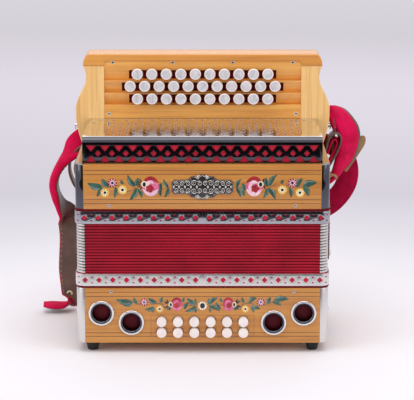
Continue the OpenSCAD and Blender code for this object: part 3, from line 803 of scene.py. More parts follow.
def make_bass_strap():
    """A stitched leather band from side to side under the end of the casing."""
    low, high = size("bass_strap")
    out, bend, thick, half = high[0], 8, 3.4, high[1]
    middle = out - thick / 2
    path = [(-middle, high[2])] + [(-middle, low[2] + bend + d) for d in (24, 10, 0)]
    turn = [math.radians(a) for a in range(0, 91, 15)]
    r = bend - thick / 2
    path += [(-out + bend - r * math.cos(a), low[2] + bend - r * math.sin(a)) for a in turn[1:]]
    path += [(-out + bend + (2 * out - 2 * bend) * k / 12, low[2] + thick / 2) for k in range(1, 12)]
    path += [(out - bend + r * math.sin(a), low[2] + bend - r * math.cos(a)) for a in turn]
    path += [(middle, low[2] + bend + d) for d in (10, 24)] + [(middle, high[2])]
    build = Build()
    rings = []
    for k, (x, z) in enumerate(path):
        ahead, behind = path[min(k + 1, len(path) - 1)], path[max(k - 1, 0)]
        n = Vector((-(ahead[1] - behind[1]), 0, ahead[0] - behind[0])).normalized()
        t, e = thick / 2, 1.0
        w = half if 0 < k < len(path) - 1 else half - 2
        section = [(-w, -t + e), (-w + e, -t), (w - e, -t), (w, -t + e), (w, t - e), (w - e, t), (-w + e, t),
                   (-w, t - e)]
        rings.append([(x + n.x * b, a, z + n.z * b) for a, b in section])
    build.rings(rings, 0)
    mesh("bass_strap_band", build, [BROWN], "bass_end", replaces=("bass_strap",))
    stitch_rows = Build()
    for side in (-1, 1):
        for edge in (-1, 1):
            for k in range(9):
                z = low[2] + bend + 2 + 4 * k
                y = edge * (half - 3.2)
                x = side * (out - 0.05)
                stitch_rows.tube([(x, y, z), (x + side * 0.35, y, z + 1.3), (x, y, z + 2.6)], 0.4, steps=6)
    mesh("bass_strap_stitching", stitch_rows, [THREAD], "bass_end", replaces=("bass_strap",))


make_bass_casing()
make_bass_metal()
make_feet()
make_horns()
make_bass_buttons()
make_bass_strap()

# ---- Bellows frames ----

BAND_OUT = lower_high[0]              # half width over the metal band
BAND_DEEP = lower_high[1]
BAND_R = CORNER_R + 1.2
BAND_H = 16.4
PERIODS = 58                          # openings of the pattern round the whole band
STRAIGHT_X = 2 * (BAND_OUT - BAND_R)
STRAIGHT_Y = 2 * (BAND_DEEP - BAND_R)
ARC = math.pi / 2 * BAND_R
AROUND = 2 * (STRAIGHT_X + STRAIGHT_Y) + 4 * ARC
PERIOD = AROUND / PERIODS


def length_round(wide, deep, r):
    """The length round a rounded rectangle of half sizes wide and deep."""
    return 4 * (wide + deep - 2 * r) + 2 * math.pi * r


def around_band(s, out, wide=BAND_OUT, deep=BAND_DEEP, r=BAND_R):
    """The point at length s round a rounded rectangle, from the middle of the front towards +X, moved out."""
    sx, sy, arc = 2 * (wide - r), 2 * (deep - r), math.pi / 2 * r
    s %= 2 * (sx + sy) + 4 * arc
    legs = [(sx / 2, 0, -deep, 1, 0), (arc, wide - r, -deep + r, -90, None), (sy, wide, 0, 0, 1),
            (arc, wide - r, deep - r, 0, None), (sx, 0, deep, -1, 0), (arc, -wide + r, deep - r, 90, None),
            (sy, -wide, 0, 0, -1), (arc, -wide + r, -deep + r, 180, None), (sx / 2, 0, -deep, 1, 0)]
    for k, (length, a, b, c, d) in enumerate(legs):
        if s <= length or k == len(legs) - 1:
            if d is None:
                angle = math.radians(c + 90 * s / length)
                return a + (r + out) * math.cos(angle), b + (r + out) * math.sin(angle)
            start = 0 if k == 0 else -length if k == len(legs) - 1 else -length / 2
            x, y = a + c * (start + s), b + d * (start + s)
            outward = {0: (0, -1), 8: (0, -1), 2: (1, 0), 4: (0, 1), 6: (-1, 0)}[k]
            return x + outward[0] * out, y + outward[1] * out
        s -= length


def band_openings():
    """Diamonds at each period, with a small triangle above and below half-way between two."""
    holes = []
    for k in range(PERIODS):
        s = (k + 0.5) * PERIOD
        d = 3.95                      # half a diamond
        holes.append([(s - d, 0), (s, -d), (s + d, 0), (s, d)])
        for side in (-1, 1):
            m = s + PERIOD / 2
            if k < PERIODS - 1:
                holes.append([(m - 2.1, side * 4.5), (m + 2.1, side * 4.5), (m, side * 2.5)])
    return holes


def make_bellows_frame(name, node, body, z_low, z_high, band_z, look):
    """A cloth-covered wooden ring, with a pierced metal band let in and red cloth behind its openings."""
    core = Build()
    inner_w, inner_d = HALF_W - 24, HALF_D - 24
    outline = [(z_low + 0.15, -0.7), (z_low + 0.7, -0.15), (z_low + 1.2, 0), (z_high - 1.2, 0),
               (z_high - 0.7, -0.15), (z_high - 0.15, -0.7)]
    steps = 160
    total = 2 * (2 * (HALF_W - CORNER_R) + 2 * (HALF_D - CORNER_R)) + 2 * math.pi * CORNER_R
    marks = [total * k / steps for k in range(steps)]
    rings = []
    for s in marks:
        ring = [(*around_band(s, out - 0.1, HALF_W, HALF_D, CORNER_R), z) for z, out in outline]
        x, y = around_band(s, 0, HALF_W, HALF_D, CORNER_R)
        ix, iy = max(-inner_w, min(inner_w, x)), max(-inner_d, min(inner_d, y))
        ring += [(ix, iy, z_high - 0.15), (ix, iy, z_low + 0.15)]
        rings.append(ring)
    core.rings(rings, 0, loop=True)
    mesh(f"{name}_core", core, [CORE], body, smooth=50, replaces=(node,))

    half = BAND_H / 2
    strip = [(0, -half), (AROUND, -half), (AROUND, half), (0, half)]
    verts, faces = plate([strip] + band_openings(), 1.1, 0.12, 1)
    ends = []
    for start in (STRAIGHT_X / 2, STRAIGHT_X / 2 + ARC + STRAIGHT_Y, 1.5 * STRAIGHT_X + 2 * ARC + STRAIGHT_Y,
                  1.5 * STRAIGHT_X + 3 * ARC + 2 * STRAIGHT_Y):
        ends += [start + ARC * k / 8 for k in range(9)]
    verts, faces = cut_lines(verts, faces, ends)
    bent = []
    for s, h, depth in verts:
        bulge = 0.22 * math.cos(h / half * math.pi / 2)
        x, y = around_band(s, depth - 1.15 + bulge - 0.2)
        bent.append((x, y, band_z + half + h))
    band = Build()
    band.add(bent, faces)
    mesh(f"{name}_band", band, [look], body, smooth=40, replaces=(node,), weld=True)

    lining = Build()
    rings = []
    for s in marks:
        point = s / total * AROUND
        rings.append([(*around_band(point, o), band_z + h) for o, h in
                      ((-1.3, 0.8), (-1.05, 0.8), (-1.05, BAND_H - 0.8), (-1.3, BAND_H - 0.8))])
    lining.rings(rings, 0, loop=True)
    mesh(f"{name}_lining", lining, [RED_CLOTH], body, replaces=(node,))


def make_gasket(name, z, body, node):
    """A felt strip, squeezed between a casing and its frame."""
    build = Build()
    rings = []
    steps = 200
    total = length_round(HALF_W, HALF_D, CORNER_R)
    section = ((-8, z[0]), (0.1, z[0]), (0.7, z[0] + 0.6), (0.9, sum(z) / 2), (0.7, z[1] - 0.6), (0.1, z[1]),
               (-8, z[1]))
    for k in range(steps):
        s = total * k / steps
        rings.append([(*around_band(s, out, HALF_W, HALF_D, CORNER_R), height) for out, height in section])
    build.rings(rings, 0, loop=True)
    mesh(name, build, [GASKET], body, smooth=60, replaces=(node,))


make_bellows_frame("lower_frame", "lower_bellows_frame", "bass_end", lower_low[2] + 3, lower_high[2],
                   lower_low[2] + 3, SATIN)
make_gasket("lower_gasket", (lower_low[2] + 0.1, lower_low[2] + 3), "bass_end", "lower_bellows_frame")
# painted reflection: the upper band takes chrome darkened for its dark reflections
make_bellows_frame("upper_frame", "upper_bellows_frame", "treble_end", upper_low[2], upper_high[2] - 3,
                   upper_low[2] + 0.4, BAND_REFLECTION_CHROME)
make_gasket("upper_gasket", (upper_high[2] - 3, upper_high[2] - 0.1), "treble_end", "upper_bellows_frame")

# ---- Bellows ----

FOLDS = 17
FOLD_OUT = bellows_high[0]            # half width over the folds
FOLD_DEEP = bellows_high[1]
FOLD_IN = 24                          # depth of the folds
CREST = 0.84                          # share of each fold's height that its taped crest fills
CAP_L = 12.8                          # length of the metal corner caps along each side


def unsmooth(w):
    """The place between 0 and 1 where a smooth step is w high."""
    return 0.5 - math.sin(math.asin(1 - 2 * w) / 3)


def ride_bellows(piece, w):
    """Bakes a fold's placement into its mesh; the shares w are turned into smooth-step places that are not
    used.
    """
    a, b = unsmooth(w[0]), unsmooth(w[1])
    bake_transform(piece)


def fold_ring(z_outs):
    """Rings round the bellows for a section given as (height, out) points."""
    r, steps = CORNER_R, 176
    total = length_round(FOLD_OUT, FOLD_DEEP, r)
    rings = []
    for k in range(steps):
        s = total * k / steps
        x, y = around_band(s, 0, FOLD_OUT, FOLD_DEEP, r)
        ox, oy = around_band(s, 1, FOLD_OUT, FOLD_DEEP, r)
        ring = []
        for z, out in z_outs:
            if out > -r:
                ring.append((x + (ox - x) * out, y + (oy - y) * out, z))
            else:
                ring.append((max(-FOLD_OUT - out, min(FOLD_OUT + out, x)),
                             max(-FOLD_DEEP - out, min(FOLD_DEEP + out, y)), z))
        rings.append(ring)
    return rings


def cap_rings(z0, z1, side_x, side_y):
    """A bright metal cap folded over the corner of one crest."""
    r, mid, tall = CORNER_R, (z0 + z1) / 2, (z1 - z0) / 2
    path = []                             # x, y, the way out in x and y, and whether it is a tip
    reach = CAP_L - r * 0.2
    for k in range(3):
        x = FOLD_OUT - reach + (reach - r) * k / 3
        path.append((side_x * x, side_y * FOLD_DEEP, 0, side_y, k == 0))
    for a in range(0, 91, 15):
        c, s = sin(a), cos(a)
        place = (side_x * (FOLD_OUT - r + r * c), side_y * (FOLD_DEEP - r + r * s))
        path.append((*place, side_x * c, side_y * s, False))
    for k in range(3):
        y = FOLD_DEEP - r - (reach - r) * (k + 1) / 3
        path.append((side_x * FOLD_OUT, side_y * y, side_x, 0, k == 2))
    rings = []
    for x, y, nx, ny, tip in path:
        h = tall * (0.62 if tip else 1.0)
        section = [(-3.4, -h), (-0.9, -h), (0.05, -h * 0.72), (0.34, 0), (0.05, h * 0.72), (-0.9, h),
                   (-3.4, h)]
        rings.append([(x + nx * o, y + ny * o, mid + v) for o, v in section])
    return rings


def make_bellows():
    low, high = bellows_low[2], bellows_high[2]
    pitch = (high - low) / FOLDS
    gap = pitch * (1 - CREST) / 2
    for k in range(FOLDS):                # the taped crests
        z0, z1 = low + k * pitch + gap, low + (k + 1) * pitch - gap
        mid, tall = (z0 + z1) / 2, (z1 - z0) / 2
        share = (k + 0.5) / FOLDS
        build = Build()
        section = [(mid - tall * 0.7, -4.0), (mid - tall, -1.6), (mid - tall * 0.9, -0.7),
                   (mid - tall * 0.5, -0.12), (mid, 0), (mid + tall * 0.5, -0.12), (mid + tall * 0.9, -0.7),
                   (mid + tall, -1.6), (mid + tall * 0.7, -4.0)]
        build.rings(fold_ring(section), 0, closed_ring=False, loop=True)
        for sx in (-1, 1):
            for sy in (-1, 1):
                build.rings(cap_rings(z0, z1, sx, sy), 1, closed_ring=False, caps=False)
        crest = mesh(f"bellows_crest_{k + 1:02d}", build, [CREST_LOOK, SATIN], None,
                     smooth=50, replaces=("bellows",))
        ride_bellows(crest, (share, share))
    for k in range(FOLDS + 1):            # the card between them
        z0 = low if k == 0 else low + k * pitch - gap - tall * 0.3
        z1 = high if k == FOLDS else low + k * pitch + gap + tall * 0.3
        w0, w1 = max(0.0, (k - 0.5) / FOLDS), min(1.0, (k + 0.5) / FOLDS)
        build = Build()
        n, deep = 4, FOLD_IN - 2.2
        down = [(z0 + (z1 - z0) * 0.5 * j / n, -2.2 - deep * j / n) for j in range(n + 1)]
        up = [(z0 + (z1 - z0) * (0.5 + 0.5 * j / n), -FOLD_IN + deep * j / n) for j in range(1, n + 1)]
        build.rings(fold_ring(down + up), 0, closed_ring=False, loop=True)
        card = mesh(f"bellows_fold_{k + 1:02d}", build, [CARD], None, smooth=40,
                    replaces=("bellows",))
        ride_bellows(card, (w0, w1))


make_bellows()

# ---- Treble end ----

STEP_Z = (342.7, 325.7, 309.3)        # foot and top of each leaning step, from the top row down
STEP_TOP = (362.4, 342.7, 325.7)
STEP_DEPTH = 7.5
SLOT_H = 12.5
FELT_CLEAR = 7.6                      # from the middle of a key's stem to the felt beside it
KEY_PITCH = 19.85
ROWS = (10, 11, 10)
ROW_Z = (353.3, 336.6, 319.1)
AXLE = (72, TREBLE_TOP + 18)
RAIL_Z = TREBLE_TOP + 108.2           # where the cheeks meet the top rail
STUD_PLACE = (0, 74, 276.4)


def make_treble_casing():
    """The treble end's boards, with an opening under each key's pallet."""
    holes = []
    for y, count in ((-66, 10), (-36, 11), (-6, 10)):
        for i in range(count):
            x = (i - (count - 1) / 2) * KEY_PITCH
            holes.append(rect(x - 5.5, x + 5.5, y - 8.5, y + 8.5))
    casing_boards("treble_casing", (TREBLE_Z, TREBLE_TOP), [], [], "treble_end", "treble_casing",
                  TREBLE_TOP - WALL, holes)


def make_treble_metal():
    """Corners, screws, the axle of the keys with its brackets, and the studs of the shoulder straps."""
    # painted reflection: the treble corners take chrome darkened for their dark reflections
    corner_profiles("treble_corner_profiles", (TREBLE_Z, TREBLE_TOP), DARK_REFLECTION_CHROME, "treble_end",
                    "treble_metalwork")
    build = Build()
    for x in (-122, 122):
        for side in (-1, 1):
            screw(build, x, side * HALF_D, TREBLE_Z + 4.6, 4, side)
    face = insert_low[1]
    for x, z in [(x, 368.2) for x in (-123.5, -41.2, 41.2, 123.5)] + [(-129, 296.8), (129, 296.8)]:
        screw(build, x, face, z, 4.6, -1)
    mesh("treble_screws", build, [STEEL, NIELLO_AND_SLOT_SHADE], "treble_end", bevel=0.06,
         replaces=("treble_metalwork",))
    build = Build()
    y, z = AXLE
    build.lathe([(0, -124), (1.7, -124), (2, -123.7), (2, 123.7), (1.7, 124), (0, 124)],
                (0, y, z), 20, 0, "x")
    mesh("key_axle", build, [STEEL], "treble_end", replaces=("treble_metalwork",))
    spots = [(i - 4.5) * KEY_PITCH + 6.95 for i in (1, 4, 7)] + [-120, 120]
    for k, x in enumerate(spots):
        arch = [(y - 5, TREBLE_TOP), (y + 5, TREBLE_TOP)]
        arch += [(y + 5 * cos(a), z + 5 * sin(a)) for a in range(0, 181, 15)]
        board(f"axle_bracket_{k + 1}", [arch, circle(y, z, 4.1, 24)], 2, x - 1, STEEL, "treble_end",
              0.2, ("treble_metalwork",), "side")
    for side in (-1, 1):
        build = Build()
        start = cheek_half(279.4) + GAP
        build.lathe([(0, start), (3, start), (3, start + 3.6), (5.1, start + 3.6), (5.5, start + 3.9),
                     (5.4, start + 4.5), (4.2, start + 5.1), (2.2, start + 5.35), (0, start + 5.4)],
                    STUD_PLACE, 32, 0, "x")
        build.verts = [(side * a, b, c) for a, b, c in build.verts]
        mesh(f"strap_stud_{'right' if side > 0 else 'left'}", build, [CHROME], "treble_end",
             replaces=("treble_metalwork",))


# ---- Pierced cover ----

GRILLE_R = 9
GRILLE_T = 1.5
PIERCE = 18.2                         # pitch of the pattern
PIERCE_N = 17                         # openings in each row of the front
TREE_ROWS = 8
TREE_HALF = 14                        # columns of little trees on each side of the middle one


def stepped(x, y, w, h, up):
    """A triangle whose two sides go in small steps, pointing up or down."""
    side = 1 if up else -1
    steps = 4
    right = []
    for k in range(steps):
        half = w / 2 * (1 - k / steps)
        low = y - side * h / 2 + side * h * k / steps
        top = y - side * h / 2 + side * h * (k + 1) / steps
        right += [(x + half, low), (x + half, top)]
    points = right + [(2 * x - a, b) for a, b in reversed(right)]
    clean = []
    for p in points:
        if not clean or abs(p[0] - clean[-1][0]) + abs(p[1] - clean[-1][1]) > 1e-6:
            clean.append(p)
    return clean


def cover_openings(flat_start, flat_end):
    """Openings of the flat sheet: its front, then its top from flat_start to flat_end."""
    holes = []
    for k in range(PIERCE_N):
        x = (k - (PIERCE_N - 1) / 2) * PIERCE
        holes.append(stepped(x, 20.1, 12.8, 8.0, False))
        holes.append(stepped(x, 5.9, 12.4, 8.0, True))
        if k < PIERCE_N - 1:
            m = x + PIERCE / 2
            holes.append([(m - 4.3, 13.2), (m, 8.7), (m + 4.3, 13.2), (m, 17.7)])
    deep = flat_end - flat_start
    field = (flat_start + deep * 0.03, flat_end - deep * 0.25)
    step = (field[1] - field[0]) / TREE_ROWS
    for k in range(-TREE_HALF, TREE_HALF + 1):     # columns of little trees
        x = k * PIERCE / 2
        for r in range(TREE_ROWS):
            y = field[0] + (r + 0.5) * step
            if abs(k) == TREE_HALF and r in (0, TREE_ROWS - 1):
                continue
            if (k + r) % 2 == 0:
                holes.append([(x - 2.9, y - 3.2), (x + 2.9, y - 3.2), (x + 1.0, y - 0.4), (x + 2.0, y - 0.4),
                              (x, y + 4.2), (x - 2.0, y - 0.4), (x - 1.0, y - 0.4)])
            else:
                holes.append([(x - 2.4, y - 2.2), (x + 2.4, y - 2.2), (x + 1.5, y + 0.2), (x - 1.5, y + 0.2)])
                holes.append([(x - 0.8, y + 1.6), (x + 0.8, y + 1.6), (x + 0.8, y + 3.8), (x - 0.8, y + 3.8)])
    back = flat_end - deep * 0.115
    pitch = PIERCE * 0.955
    for k in range(-8, 9):                         # a double row of dashes along the back
        x = k * pitch
        for low_w, low, top_w, top in ((5.2, 3.0, 4.2, 5.2), (3.4, -3.4, 2.0, 0.6)):
            holes.append([(x - low_w, back + low), (x + low_w, back + low),
                          (x + top_w, back + top), (x - top_w, back + top)])
        if k < 8:
            m = x + pitch / 2
            holes.append([(m - 1.1, back - 1.2), (m, back - 2.6), (m + 1.1, back - 1.2), (m, back + 0.2)])
    return holes


def make_cover():
    """The pierced sheet bent over the front, its two ends, the cloth behind it and its screws."""
    half, front, back = grille_high[0], grille_low[1], grille_high[1]
    z0, z1 = grille_low[2], grille_high[2]
    rise = z1 - z0 - GRILLE_R
    bend = math.pi / 2 * GRILLE_R
    flat = back - front - GRILLE_R
    sheet = [(-half, 0), (half, 0), (half, rise + bend + flat), (-half, rise + bend + flat)]
    verts, faces = plate([sheet] + cover_openings(rise + bend, rise + bend + flat), GRILLE_T, 0.16, 1)
    verts, faces = cut_lines(verts, faces, [rise + bend * k / 10 for k in range(11)], 1)
    bent = []
    for x, s, depth in verts:
        inward = GRILLE_T - depth
        if s <= rise:
            bent.append((x, front + inward, z0 + s))
        elif s >= rise + bend:
            bent.append((x, front + GRILLE_R + (s - rise - bend), z1 - inward))
        else:
            a = (s - rise) / GRILLE_R
            r = GRILLE_R - inward
            bent.append((x, front + GRILLE_R - r * math.cos(a), z1 - GRILLE_R + r * math.sin(a)))
    build = Build()
    # painted reflection: the front faces of the one sheet take the darkened chrome and its top the bright
    # cover chrome
    in_front = [sum(verts[i][1] for i in f) / len(f) < rise + bend * 0.75 for f in faces]
    build.add(bent, [f for f, ahead in zip(faces, in_front) if ahead], 1)
    build.add(bent, [f for f, ahead in zip(faces, in_front) if not ahead])
    mesh("cover_sheet", build, [COVER, FRONT_REFLECTION_CHROME], "treble_end", smooth=40,
         replaces=("grille",), weld=True)

    arc = [(front + GRILLE_R - GRILLE_R * cos(a) * 0.985, z1 - GRILLE_R + GRILLE_R * sin(a) * 0.985 - 0.1)
           for a in range(0, 91, 10)]
    end = [(front + 0.2, z0)] + arc + [(back, z1 - 0.2), (back, z0)]
    # painted reflection: the ends take chrome darkened for dark reflections
    for side in (-1, 1):
        x = half - GRILLE_T if side > 0 else -half
        name = f"cover_end_{'right' if side > 0 else 'left'}"
        shrink = [(a + (0.9 if a < front + 40 else 0), b - (1.45 if b > z0 + 5 else 0)) for a, b in end]
        board(name, [shrink], GRILLE_T - 0.1, x + 0.05, DARK_REFLECTION_CHROME, "treble_end", 0.3,
              ("grille",), "side")
    cloth_piece = Build()
    inset = GRILLE_T + 0.35
    path = [(front + inset, z0 + 0.6), (front + inset, z1 - GRILLE_R)]
    path += [(front + GRILLE_R - (GRILLE_R - inset) * cos(a), z1 - GRILLE_R + (GRILLE_R - inset) * sin(a))
             for a in range(15, 91, 15)]
    path += [(back - 1, z1 - inset)]
    inner = half - GRILLE_T - 0.3
    count = 48
    rings = []
    for k in range(count + 1):
        x = -inner + 2 * inner * k / count
        rings.append([(x, y, z) for y, z in path] + [(x, y + 0.3, z - 0.35) for y, z in reversed(path)])
    cloth_piece.rings(rings)
    mesh("cover_cloth", cloth_piece, [RED_CLOTH], "treble_end", replaces=("grille",))
    screws = Build()
    for x in (-half + 9, half - 9):
        screws.lathe([(0, -0.05), (2.3, -0.05), (2.3, 0.15), (1.7, 0.5), (0.8, 0.7), (0, 0.75)],
                     (x, back - 36, z1), 20, 0, "z")
    mesh("cover_screws", screws, [STEEL], "treble_end", replaces=("grille",))


# ---- Fingerboard ----

def cheek_half(z):
    """Half the width of the fingerboard at height z, the same curve as in the CAD model."""
    swell, neck, flare = 8, 14.8, 4.1
    if z < TREBLE_TOP + 40:
        return HALF_W + swell * math.sin(math.pi / 2 * (z - TREBLE_TOP) / 40)
    if z < TREBLE_TOP + 48:
        return HALF_W + swell
    if z < TREBLE_TOP + 92.7:
        t = (z - TREBLE_TOP - 48) / 44.7
        return HALF_W + swell - neck * (1 - math.cos(math.pi * t)) / 2
    return HALF_W + swell - neck + flare * ((z - TREBLE_TOP - 92.7) / (RAIL_Z - TREBLE_TOP - 92.7)) ** 2


def make_fingerboard():
    """Two curved cheeks, a top rail whose front is cut away over the insert, and the back board."""
    inner = insert_high[0]
    front, back = board_low[1] + 1, board_high[1]
    steps = 44
    for side in (-1, 1):
        heights = [TREBLE_TOP + (RAIL_Z - GAP - TREBLE_TOP) * k / steps for k in range(steps + 1)]
        outer = [(cheek_half(z), z) for z in heights]
        outline = [(inner, TREBLE_TOP)] + outer + [(inner, RAIL_Z - GAP)]
        if side < 0:
            outline = [(-x, z) for x, z in reversed(outline)]
        board(f"cheek_{'right' if side > 0 else 'left'}", [outline], back - front, front, MAPLE, "treble_end",
              1.4, ("fingerboard_frame",))
    top = board_high[2]
    end_w, rise = 9.4, top - RAIL_Z
    mid = cheek_half(RAIL_Z) - end_w
    lip = insert_high[2]
    outline = [(mid + end_w * cos(a), RAIL_Z + rise * sin(a)) for a in range(0, 91, 9)]
    outline += [(-mid - end_w * cos(a), RAIL_Z + rise * sin(a)) for a in range(90, -1, -9)]
    r = 5
    notch = [(-inner - GAP, RAIL_Z)]
    notch += [(-inner - GAP + r - r * cos(a), lip + GAP - r + r * sin(a)) for a in range(0, 91, 15)]
    notch += [(-x, z) for x, z in reversed(notch)]
    board("top_rail_front", [outline + notch], insert_high[1] - board_low[1], board_low[1], RAIL,
          "treble_end", 1.2, ("fingerboard_frame",))
    board("top_rail_back", [outline], back - insert_high[1] - GAP, insert_high[1] + GAP, RAIL, "treble_end",
          1.2, ("fingerboard_frame",))
    board("fingerboard_back", [rect(-inner + GAP, inner - GAP, TREBLE_TOP + GAP, RAIL_Z - GAP)], 2, back - 2,
          RAIL, "treble_end", 0.4, ("fingerboard_frame",))


def make_insert():
    """The stepped insert: a leaning face above each ledge, with a slot that the keys' stems pass through."""
    inner, face, back = insert_high[0], insert_low[1], insert_high[1]
    low, top = insert_low[2], insert_high[2]
    deep = face + STEP_DEPTH
    e = 0.45
    section = [(face, low), (face, STEP_Z[2] - e), (face + e, STEP_Z[2])]
    for k in (2, 1, 0):
        z0, z1 = STEP_Z[k], STEP_TOP[k]
        slope = (face - deep) / (z1 - z0)
        section += [(deep, z0), (deep + slope * 2, z0 + 2), (deep + slope * (2 + SLOT_H), z0 + 2 + SLOT_H)]
        section += [(face, z1 - e), (face + e, z1)] if k else [(face, z1)]
    section += [(face, top)]
    halves = [-(-(n - 1) / 2 * KEY_PITCH) + 12 for n in ROWS]
    xs = sorted({-inner, inner, *halves, *[-h for h in halves]})
    build = Build()
    quad = [(0, 1, 2, 3)]
    for x0, x1 in zip(xs, xs[1:]):
        for (ya, za), (yb, zb) in zip(section, section[1:]):
            slot = [k for k in range(3) if abs(za - STEP_Z[k] - 2) < 1e-6]
            if slot and max(abs(x0), abs(x1)) <= halves[slot[0]] + 1e-6:
                for y, z in ((ya, za), (yb, zb)):
                    build.add([(x0, y, z), (x1, y, z), (x1, back, z), (x0, back, z)], quad)
            else:
                build.add([(x0, ya, za), (x1, ya, za), (x1, yb, zb), (x0, yb, zb)], quad)
    for k, h in enumerate(halves):
        z0 = STEP_Z[k] + 2
        slope = -STEP_DEPTH / (STEP_TOP[k] - STEP_Z[k])
        ya, yb = deep + slope * 2, deep + slope * (2 + SLOT_H)
        for x in (-h, h):
            build.add([(x, ya, z0), (x, yb, z0 + SLOT_H), (x, back, z0 + SLOT_H), (x, back, z0)], quad)
    for z in (low, top):
        build.add([(-inner, face, z), (inner, face, z), (inner, back, z), (-inner, back, z)], quad)
    for x in (-inner, inner):
        build.add([(x, y, z) for y, z in section] + [(x, back, top), (x, back, low)],
                  [tuple(range(len(section) + 2))])
    mesh("stepped_insert", build, [INSERT], "treble_end", smooth=25,
         replaces=("fingerboard_steps",), weld=True)
    # painted shade: the slot felts take the darkened felt in place of the shade inside the slots
    felts = Build()
    for k, h in enumerate(halves):
        z0 = STEP_Z[k] + 2 + GAP
        stems = [(i - (ROWS[k] - 1) / 2) * KEY_PITCH for i in range(ROWS[k])]
        for left, right in zip([GAP - h] + [x + FELT_CLEAR for x in stems],
                               [x - FELT_CLEAR for x in stems] + [h - GAP]):
            felts.box((left, right), (back - 4, back), (z0, z0 + SLOT_H - 2 * GAP))
    mesh("slot_felts", felts, [RED_FELT_PAINTED_SHADE], "treble_end", bevel=0.3,
         replaces=("fingerboard_steps",))


make_treble_casing()
make_treble_metal()
make_cover()
make_fingerboard()
make_insert()

# ---- Treble keys ----

CAP_FRONT = 37.4                      # front of the buttons
LEVER_SHIFT = (4, 0, -4)              # of each row's levers from its buttons
PALLET_Y = (-66, -36, -6)
LEVER_T = 2.2
CAP_PROFILE = [(0, 8), (5.6, 8), (6.4, 7.7), (7.1, 7.0), (7.6, 5.4), (7.7, 3.6), (7.68, 1.6), (7.45, 0.6),
               (6.95, 0.12), (6.45, 0.0), (6.1, 0.12), (5.95, 0.45)]
DISC_PROFILE = [(5.97, 0.44), (5.3, 0.34), (3.6, 0.22), (1.8, 0.16), (0, 0.15)]


def make_key(row, i):
    """Button with its pearl disc, stem, lever with a hole for the axle, post, and pallet with its felt."""
    name = f"treble_key_r{row + 1}_{i + 1:02d}"
    x = (i - (ROWS[row] - 1) / 2) * KEY_PITCH
    z = ROW_Z[row]
    axle_y, axle_z = AXLE
    lever_x = x + LEVER_SHIFT[row]
    back = axle_y - 4
    build = Build()
    build.lathe(CAP_PROFILE, (x, CAP_FRONT, z), 40, 0)
    build.lathe(DISC_PROFILE, (x, CAP_FRONT, z), 40, 1)
    stem = back - CAP_FRONT
    build.lathe([(0, 8.05), (2.5, 8.05), (2.5, stem), (0, stem)], (x, CAP_FRONT, z), 16, 2)
    left, right = lever_x - LEVER_T / 2, lever_x + LEVER_T / 2
    if LEVER_SHIFT[row]:                  # a foot from the stem to a lever beside it
        build.box((min(x, left), max(x, right)), (back - 5, back), (z - 2.5, z + 2.5), 2)
    arm_z, pallet = TREBLE_TOP + 14.1, PALLET_Y[row]
    corner = 6
    bend = [(axle_y + 4 - corner + corner * cos(a), arm_z + corner + corner * sin(a))
            for a in (-90, -60, -30, 0)]
    outline = [(pallet - 3, arm_z), *bend, (axle_y + 4, z + 2.5), (back, z + 2.5), (back, arm_z + 7),
               (pallet - 3, arm_z + 7)]
    verts, faces = plate([outline, circle(axle_y, axle_z, 4.16, 24)], LEVER_T, 0.25, 1)
    build.add([(left + c, a, b) for a, b, c in verts], faces, 2)
    build.box((left, right), (pallet - 3, pallet + 5), (TREBLE_TOP + 5.6, arm_z + 0.3), 2)
    px, py = (x - 8, x + 8), (pallet - 11, pallet + 11)
    build.box(px, py, (TREBLE_TOP + 2.05, TREBLE_TOP + 5.55), 3)
    build.box((px[0] + 0.4, px[1] - 0.4), (py[0] + 0.4, py[1] - 0.4),
              (TREBLE_TOP + GAP, TREBLE_TOP + 2.05), 4)
    mesh(f"{name}_piece", build, [WHITE, PEARL, STEEL, PALE, RED_FELT_PAINTED_SHADE], name, smooth=38,
         replaces=(name,))


for row, count in enumerate(ROWS):
    for i in range(count):
        make_key(row, i)

# ---- Painted and laid-in ornament ----

FACE = -HALF_D
STRIPE = 0.7
LIFT = 0.035                          # step from one level of paint to the next
PLATE_Z = 226.4                       # height of the nameplate's middle


def mirrored(angle, m):
    """A direction for the left half, where m is 1, or its mirror image."""
    return angle if m > 0 else 180 - angle


